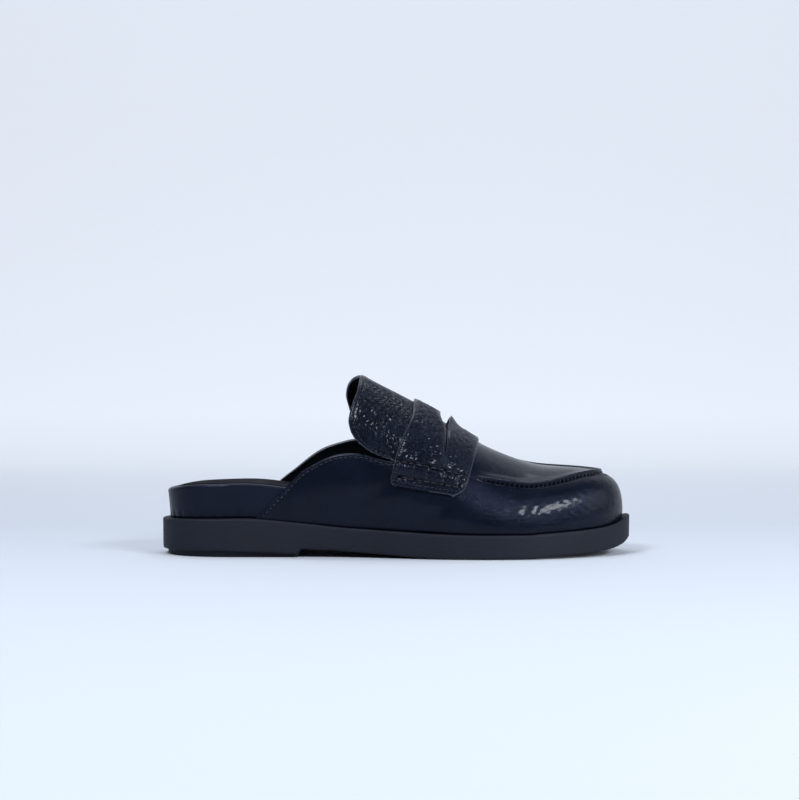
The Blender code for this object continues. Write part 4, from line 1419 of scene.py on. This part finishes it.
@dataclass
class SaddleStrap(Covering):
    """Strap over instep and tongue: rounded lower corners, a penny slot with pointed ends across
    the ridge, and each end sewn down by a ladder of long stitches that pinches the leather."""

    wall: float = 1.8 * MM
    corner_rear: float = 3.2 * MM
    corner_front: float = 7.0 * MM
    low_rear: float = 40.4 * MM
    low_front: float = 32.6 * MM
    low_rise_inner: float = 4.0 * MM
    rear_rows: Table = ((0.000, 0.4860), (0.088, 0.4938), (0.169, 0.4994), (0.275, 0.5069),
                        (0.363, 0.5153), (0.450, 0.5227), (0.619, 0.5305), (0.869, 0.5315),
                        (1.000, 0.5315))
    front_rows: Table = ((0.000, 0.6385), (0.100, 0.6430), (0.238, 0.6506), (0.438, 0.6599),
                         (0.625, 0.6664), (0.906, 0.6711), (1.000, 0.6711))
    slot_half: float = 34.5 * MM
    slot_rows: Table = ((0.00, 0.6075, 0.0218), (0.28, 0.6068, 0.0210), (0.42, 0.6058, 0.0150),
                        (0.53, 0.6045, 0.0070), (0.64, 0.6034, 0.0034), (0.80, 0.6018, 0.0028),
                        (0.96, 0.5988, 0.0020), (1.00, 0.5982, 0.0000))
    tongue: Tongue = field(default_factory=Tongue)
    ladder_posts: tuple[float, ...] = (136.6 * MM, 144.2 * MM, 151.6 * MM, 160.4 * MM, 168.2 * MM)
    ladder_top: tuple[float, float] = (52.8 * MM, -0.22)
    ladder_foot: tuple[float, float] = (44.8 * MM, -0.19)
    ladder_from: float = 139.5 * MM
    post_lean: float = 0.12
    pinch: float = 1.25 * MM
    top_groove: float = 0.95 * MM
    groove: float = 0.7 * MM
    puff_width: float = 1.6 * MM
    crinkle: Crinkle = Crinkle(3.6 * MM, 0.17 * MM, -35.0)
    rim: RolledEdge = RolledEdge(0.6 * MM, 1.1 * MM, 1.7 * MM, 0.20 * MM, 0.4 * MM)
    edge_thread: Thread = Thread(0.27 * MM, 2.2 * MM, 1.5 * MM, 0.20 * MM)
    ladder_thread: Thread = Thread(0.46 * MM, 3.9 * MM, 3.2 * MM, 0.25 * MM)

    def edges(self, down: Array) -> tuple[Array, Array]:
        """Rear and front edge of the strap, pulled in by a quarter circle at the lower corners."""
        rear = LAST.length * steady(self.rear_rows, 1, down)
        front = LAST.length * steady(self.front_rows, 1, down)
        climb = down * (LAST.instep_height - self.low_front)
        turns = [np.clip(1.0 - climb / radius, 0.0, 1.0)
                 for radius in (self.corner_rear, self.corner_front)]
        pulls = [1.0 - np.sqrt(1.0 - turn * turn) for turn in turns]
        return rear + self.corner_rear * pulls[0], front - self.corner_front * pulls[1]

    def low_t(self, side: Side, x: Array) -> Array:
        """Lower end of the strap on the rib at each place."""
        sample = np.linspace(0.46, 0.70, 160) * LAST.length
        rear, front = self.edges(np.linspace(0.0, 1.0, 200))
        fore = (sample - rear.min()) / (front.max() - rear.min())
        height = self.low_rear + (self.low_front - self.low_rear) * fore + self.rise(side)
        return np.interp(x, sample, LAST.t_at_height(side, sample, height))

    def rise(self, side: Side) -> float:
        """How much higher the strap ends on the inner side."""
        return self.low_rise_inner if side is Side.INNER else 0.0

    def rail(self, line: tuple[float, float], x: Array) -> Array:
        """Height of one of the ladder's rails at x."""
        return line[0] + line[1] * (x - self.ladder_from)

    def offset(self, x: Array, z: Array) -> Array:
        """Height of the strap's inner face over the upper: higher where the tongue is under it."""
        share = x / LAST.length
        low = self.tongue.low[Side.OUTER]
        behind = 1.0 - ramp(share, self.tongue.front + 0.002, 0.640)
        over = behind * ramp(z, 0.80 * low, 0.97 * low)
        seam = 1.5 * MM * ramp(share, 0.655, 0.700)
        return LAST.gap + 0.1 * MM + (LAST.gap + self.tongue.wall) * over + seam

    def slot_sides(self, y: Array) -> tuple[Array, Array]:
        """Rear and front side of the slot at a distance from the ridge: a lens on top that runs out
        into a narrow cut down the side."""
        place = np.abs(y) / self.slot_half
        front = LAST.length * steady(self.slot_rows, 1, place)
        return front - LAST.length * steady(self.slot_rows, 2, place), front

    def grid(self, side: Side, down: Array, along: Array, fore_band: bool) -> tuple[Array, Array]:
        """Places of one band of the strap, behind or before the slot.

        Args:
            side: Which half.
            down: Shares from the lower end to the ridge, as a column.
            along: Shares across the band, as a row.
            fore_band: Whether it is the band before the slot.

        Returns:
            Places x and ways t.
        """
        rear, front = self.edges(down)
        split = 0.5 * (rear + front)
        for _ in range(3):
            y = np.abs(LAST.ribs(side, split, self.rib_t(side, split, down))[..., 1])
            sides = self.slot_sides(y)
            near = sides[1] if fore_band else sides[0]
            inside = ramp(y, 1.25 * self.slot_half, self.slot_half)
            split = near * inside + (1.0 - inside) * (rear + (front - rear) * 0.47)
        x = (split + (front - split) * along) if fore_band else (rear + (split - rear) * along)
        return x, self.rib_t(side, x, down)

    def ladder(self, side: Side, points: Array) -> Array:
        """Pinch of the ladder stitching: troughs along its two rails and five posts, with the
        leather puffed between them and gathered above the upper rail."""
        x, z = points[..., 0], points[..., 2] - self.rise(side)
        top, foot = self.rail(self.ladder_top, x), self.rail(self.ladder_foot, x)
        first, last = self.ladder_posts[0], self.ladder_posts[-1]
        inside = ramp(x, first - 2.0 * MM, first) * (1.0 - ramp(x, last, last + 2.0 * MM))
        between = ramp(z, -1.0 * MM, 0.0) * ramp(z - foot, -1.5 * MM, 0.5 * MM) * (
            1.0 - ramp(z - top, -0.5 * MM, 1.5 * MM))
        lift = -self.pinch * bell(z - top, self.top_groove) * inside
        lift += -0.7 * self.pinch * bell(z - foot, self.groove) * inside
        puff = np.zeros_like(x)
        for post in self.ladder_posts:
            post_x = post + self.post_lean * (z - foot)
            lift += -0.8 * self.pinch * bell(x - post_x, self.groove) * between
            puff += 0.45 * self.pinch * bell(x - post - 0.5 * MM, self.puff_width) * bell(
                z - top - 2.0 * MM, self.puff_width)
        lift += 0.55 * self.pinch * between * inside * np.sin(
            np.pi * np.clip((z - foot) / np.maximum(top - foot, MM), 0.0, 1.0))
        return lift + puff * inside

    def build(self, finishes: Finishes) -> None:
        """Make the strap's four bands, welded outside the slot, and all its stitches."""
        down = even_parts((0.0, 0.03, 7), (0.03, 0.40, 76), (0.40, 1.0, 76))[:, None]
        along = even_parts((0.0, 0.08, 7), (0.08, 0.92, 32), (0.92, 1.0, 7))[None, :]
        patches = [self.band(side, fore_band, down, along)
                   for side in Side for fore_band in (False, True)]
        made = skin_object("saddle_strap_leather", patches, self.wall,
                           (finishes.strap, finishes.lining, finishes.edge))
        hand_in(made, "saddle_strap")
        runs = []
        for side in Side:
            runs.append(self.edge_thread.run(*self.edge_line(side)))
            runs += self.ladder_stitches(side)
        hand_in(stitches_object("strap_stitches", runs, finishes.thread))

    def band(self, side: Side, fore_band: bool, down: Array, along: Array) -> Patch:
        """One band of the strap with its rolled edge, slot, ladder and crinkles.

        Args:
            side: Which half.
            fore_band: Whether it is the band before the slot.
            down: Shares from the lower end to the ridge, as a column.
            along: Shares across the band, as a row.

        Returns:
            The band's grid.
        """
        x, t = self.grid(side, down, along, fore_band)
        base = LAST.ribs(side, x, t)
        to_edge = nearest(base, self.boundary(side))
        away = np.abs(base[..., 1])
        slot_edge = x[:, :1] if fore_band else x[:, -1:]
        to_slot = np.where(away < self.slot_half, np.abs(x - slot_edge), FAR)
        turned_up = 2.1 * MM if fore_band else 0.3 * MM
        lift = self.offset(x, base[..., 2]) + self.wall + self.rim.lift(to_edge)
        lift += turned_up * bell(to_slot, 3.5 * MM) * (1.0 - ramp(away, 3.0 * MM, 13.0 * MM))
        lift += -0.6 * MM * bell(to_slot, 0.9 * MM) * ramp(away, 9.0 * MM, 16.0 * MM)
        lift += self.ladder(side, base)
        calm = ramp(to_edge, 0.5 * MM, 4.0 * MM) * ramp(1.0 - down, 0.0, 0.03)
        if fore_band:
            calm = 0.6 * calm * ramp(1.0 - along, 0.0, 0.1) * ramp(along, 0.0, 0.25)
        else:
            calm = calm * ramp(along, 0.0, 0.1) * (1.0 - ramp(along, 0.75, 1.0))
        lift += calm * self.crinkle.height(cloth_lengths(base))
        points = base + LAST.outward(side, x, t) * lift[..., None]
        return Patch(points, cloth_lengths(points), side is Side.OUTER, to_edge)

    def boundary(self, side: Side) -> Array:
        """Points of the strap's rear, lower and front edges on the last."""
        down = np.linspace(0.0, 1.0, 300)
        rear, front = self.edges(down)
        lines = [LAST.ribs(side, x, self.rib_t(side, x, down)) for x in (rear, front)]
        x = np.linspace(rear[0], front[0], 120)
        return np.concatenate((*lines, LAST.ribs(side, x, self.low_t(side, x))))

    def edge_line(self, side: Side) -> tuple[Array, Array]:
        """Line of the fine stitches along the lower edge and round its corners."""
        inset = self.rim.inset
        down = np.linspace(0.30, 0.0, 70)
        rear, front = self.edges(down)
        climb = inset / (LAST.instep_height - self.low_front)
        bottom = np.linspace(rear[-1] + inset, front[-1] - inset, 90)[1:-1]
        x = np.concatenate((rear + inset, bottom, (front - inset)[::-1]))
        high = np.maximum(down, climb)
        share = np.concatenate((high, np.full(len(bottom), climb), high[::-1]))
        return self.raised(side, x, self.rib_t(side, x, share), 0.08 * MM)

    def raised(self, side: Side, x: Array, t: Array, sink: float) -> tuple[Array, Array]:
        """Points a little under the strap's face, and the way out of it there."""
        base = LAST.ribs(side, x, t)
        normal = LAST.outward(side, x, t)
        lift = self.offset(x, base[..., 2]) + self.wall - sink
        return base + normal * lift[:, None], normal

    def on_strap(self, side: Side, x: Array, z: Array, sink: float) -> tuple[Array, Array]:
        """Points of the strap's face at given lengths and heights, and the way out of it there."""
        return self.raised(side, x, LAST.t_at_height(side, x, z + self.rise(side)), sink)

    def ladder_stitches(self, side: Side) -> list[tuple[Array, list]]:
        """Long dark stitches along both rails and down the five posts."""
        first, last = self.ladder_posts[0] + 1.0 * MM, self.ladder_posts[-1] + 1.5 * MM
        x = np.linspace(first, last, 60)
        lines = [self.on_strap(side, x, self.rail(line, x), 0.75 * MM)
                 for line in (self.ladder_top, self.ladder_foot)]
        for post in self.ladder_posts:
            low = self.rail(self.ladder_foot, post)
            z = np.linspace(low, self.rail(self.ladder_top, post), 20)
            lines.append(self.on_strap(side, post + self.post_lean * (z - low), z, 0.65 * MM))
        return [self.ladder_thread.run(*line) for line in lines]


@dataclass(frozen=True)
class SoftLight:
    """A soft rectangular light: where it hangs and points, its width and height, its watts."""

    name: str
    place: tuple[float, float, float]
    aim: tuple[float, float, float]
    size: tuple[float, float]
    power: float
    colour: tuple[float, float, float] = (0.93, 0.96, 1.0)

    def hang(self) -> None:
        """Put the light up, with its -Z axis along the way to its aim and its X axis level."""
        data = bpy.data.lights.new(self.name, "AREA")
        data.shape = "RECTANGLE"
        data.size, data.size_y = self.size
        data.energy, data.color = self.power, self.colour
        light = bpy.data.objects.new(self.name, data)
        light.location = self.place
        x, y, z = np.subtract(self.aim, self.place).tolist()
        light.rotation_euler = (math.atan2(math.hypot(x, y), -z), 0.0, math.atan2(-x, y))
        bpy.context.scene.collection.objects.link(light)


@dataclass
class Studio:
    """Pale seamless paper, soft lights and a level close camera.

    The camera's height, distance and lens come from the floor line, the rims and the outline in the
    photograph: 88 mm over the floor, 914 mm from the shoe's middle, 1576 pixels of focal length.
    """

    camera_height: float = 88.0 * MM
    camera_distance: float = 914.0 * MM
    camera_aside: float = 1.6 * MM
    focal_pixels: float = 1576.0
    frame_pixels: float = 799.0
    sensor: float = 36.0
    paper: str = "#b2b8c2"
    glow: str = "#ebf0f6"
    glow_floor: float = 0.12
    glow_wall: float = 0.66
    # Half length and width of the ellipse where the sweep's glow is cut out: a painted shadow under
    # the sole.
    painted_shadow_half: tuple[float, float] = (0.137, 0.050)
    sweep_radius: float = 1.2
    table_half: float = 4.0
    air: str = "#ccd8ee"
    air_strength: float = 0.30
    lights: tuple[SoftLight, ...] = (
        SoftLight("overhead_softbox", (0.0, 0.45, 1.3), (0.0, 0.0, 0.05), (0.9, 0.5), 6.0),
        SoftLight("vamp_strip", (0.86, -0.90, 0.70), (0.09, 0.0, 0.04), (0.60, 0.24), 15.0),
        SoftLight("instep_box", (-0.46, -0.66, 0.98), (0.0, 0.0, 0.07), (0.34, 0.34), 10.0),
        SoftLight("toe_side_box", (1.30, -0.25, 0.40), (0.13, 0.0, 0.03), (0.80, 0.60), 2.5),
    )

    def build(self) -> None:
        """Set table, lights, surroundings and camera."""
        self.build_table()
        for light in self.lights:
            light.hang()
        world = bpy.data.worlds.new("studio_air")
        bpy.context.scene.world = world
        world.use_nodes = True
        air = world.node_tree.nodes["Background"]
        air.inputs["Color"].default_value = linear(self.air)
        air.inputs["Strength"].default_value = self.air_strength
        bpy.context.scene.view_settings.view_transform = "Standard"
        self.build_camera()

    def build_table(self) -> None:
        """Opal sweep lit from behind: floor, a wide quarter round and a wall, swept sideways. Its
        glow fades to nothing over an ellipse round the sole: a painted contact shadow under the shoe.
        """
        turn, r, far = np.linspace(0.0, 0.5 * math.pi, 24), self.sweep_radius, self.table_half
        curve = np.column_stack((r + r * np.sin(turn), r - r * np.cos(turn)))
        profile = np.concatenate((((-far, 0.0),), curve, ((2.0 * r, far),)))
        x = np.linspace(-far, far, 3)
        points = np.stack(np.broadcast_arrays(x[:, None], profile[None, :, 0], profile[None, :, 1]),
                          axis=-1).reshape(-1, 3)
        made = mesh_object("sweep_table", points + LAST.middle(),
                           grid_quads(3, len(profile), 0, False))
        finish = Surface("backlit_opal_acrylic_with_painted_shadow")
        # Glow cut out over the shoe's footprint and eased back beyond it: painted contact shadow.
        painted_shadow_scale = finish.add("Mapping", {"Vector": finish.place["Object"]},
                                in_Scale=(1.0 / self.painted_shadow_half[0], 1.0 / self.painted_shadow_half[1], 0.0))
        away = finish.add("VectorMath", {0: painted_shadow_scale.outputs[0]}, operation="LENGTH")
        glow = finish.add("MapRange", {"Value": away.outputs["Value"]},
                          interpolation_type="SMOOTHSTEP", in_1=0.80, in_2=1.12)
        parts = finish.add("SeparateXYZ", {0: finish.place["Object"]})
        rise = finish.add("MapRange", {"Value": parts.outputs["Y"]}, in_1=0.2, in_2=1.6,
                          in_3=self.glow_floor, in_4=self.glow_wall)
        power = finish.add("Math", {0: glow.outputs[0], 1: rise.outputs[0]}, operation="MULTIPLY")
        made.data.materials.append(finish.dress({
            "Base Color": linear(self.paper), "Roughness": 0.8, "Specular IOR Level": 0.1,
            "Emission Color": linear(self.glow), "Emission Strength": power.outputs[0],
        }))

    def build_camera(self) -> None:
        """Level camera that looks along +Y."""
        data = bpy.data.cameras.new("camera")
        data.sensor_fit = "HORIZONTAL"
        data.sensor_width = self.sensor
        data.lens = self.sensor * self.focal_pixels / self.frame_pixels
        data.clip_start = 0.05
        data.clip_end = 20.0
        camera = bpy.data.objects.new("camera", data)
        camera.location = (self.camera_aside, -self.camera_distance, self.camera_height)
        camera.rotation_euler = (0.5 * math.pi, 0.0, 0.0)
        bpy.context.scene.collection.objects.link(camera)
        bpy.context.scene.camera = camera


def main() -> None:
    """Build the studio and the shoe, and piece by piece."""
    logging.basicConfig(level=logging.INFO, format="%(name)s %(message)s")
    Studio().build()
    finishes = Finishes()
    for piece in (Outsole(), Footbed(), Upper(), Tongue(), SaddleStrap()):
        piece.build(finishes)


if __name__ == "__main__":
    main()
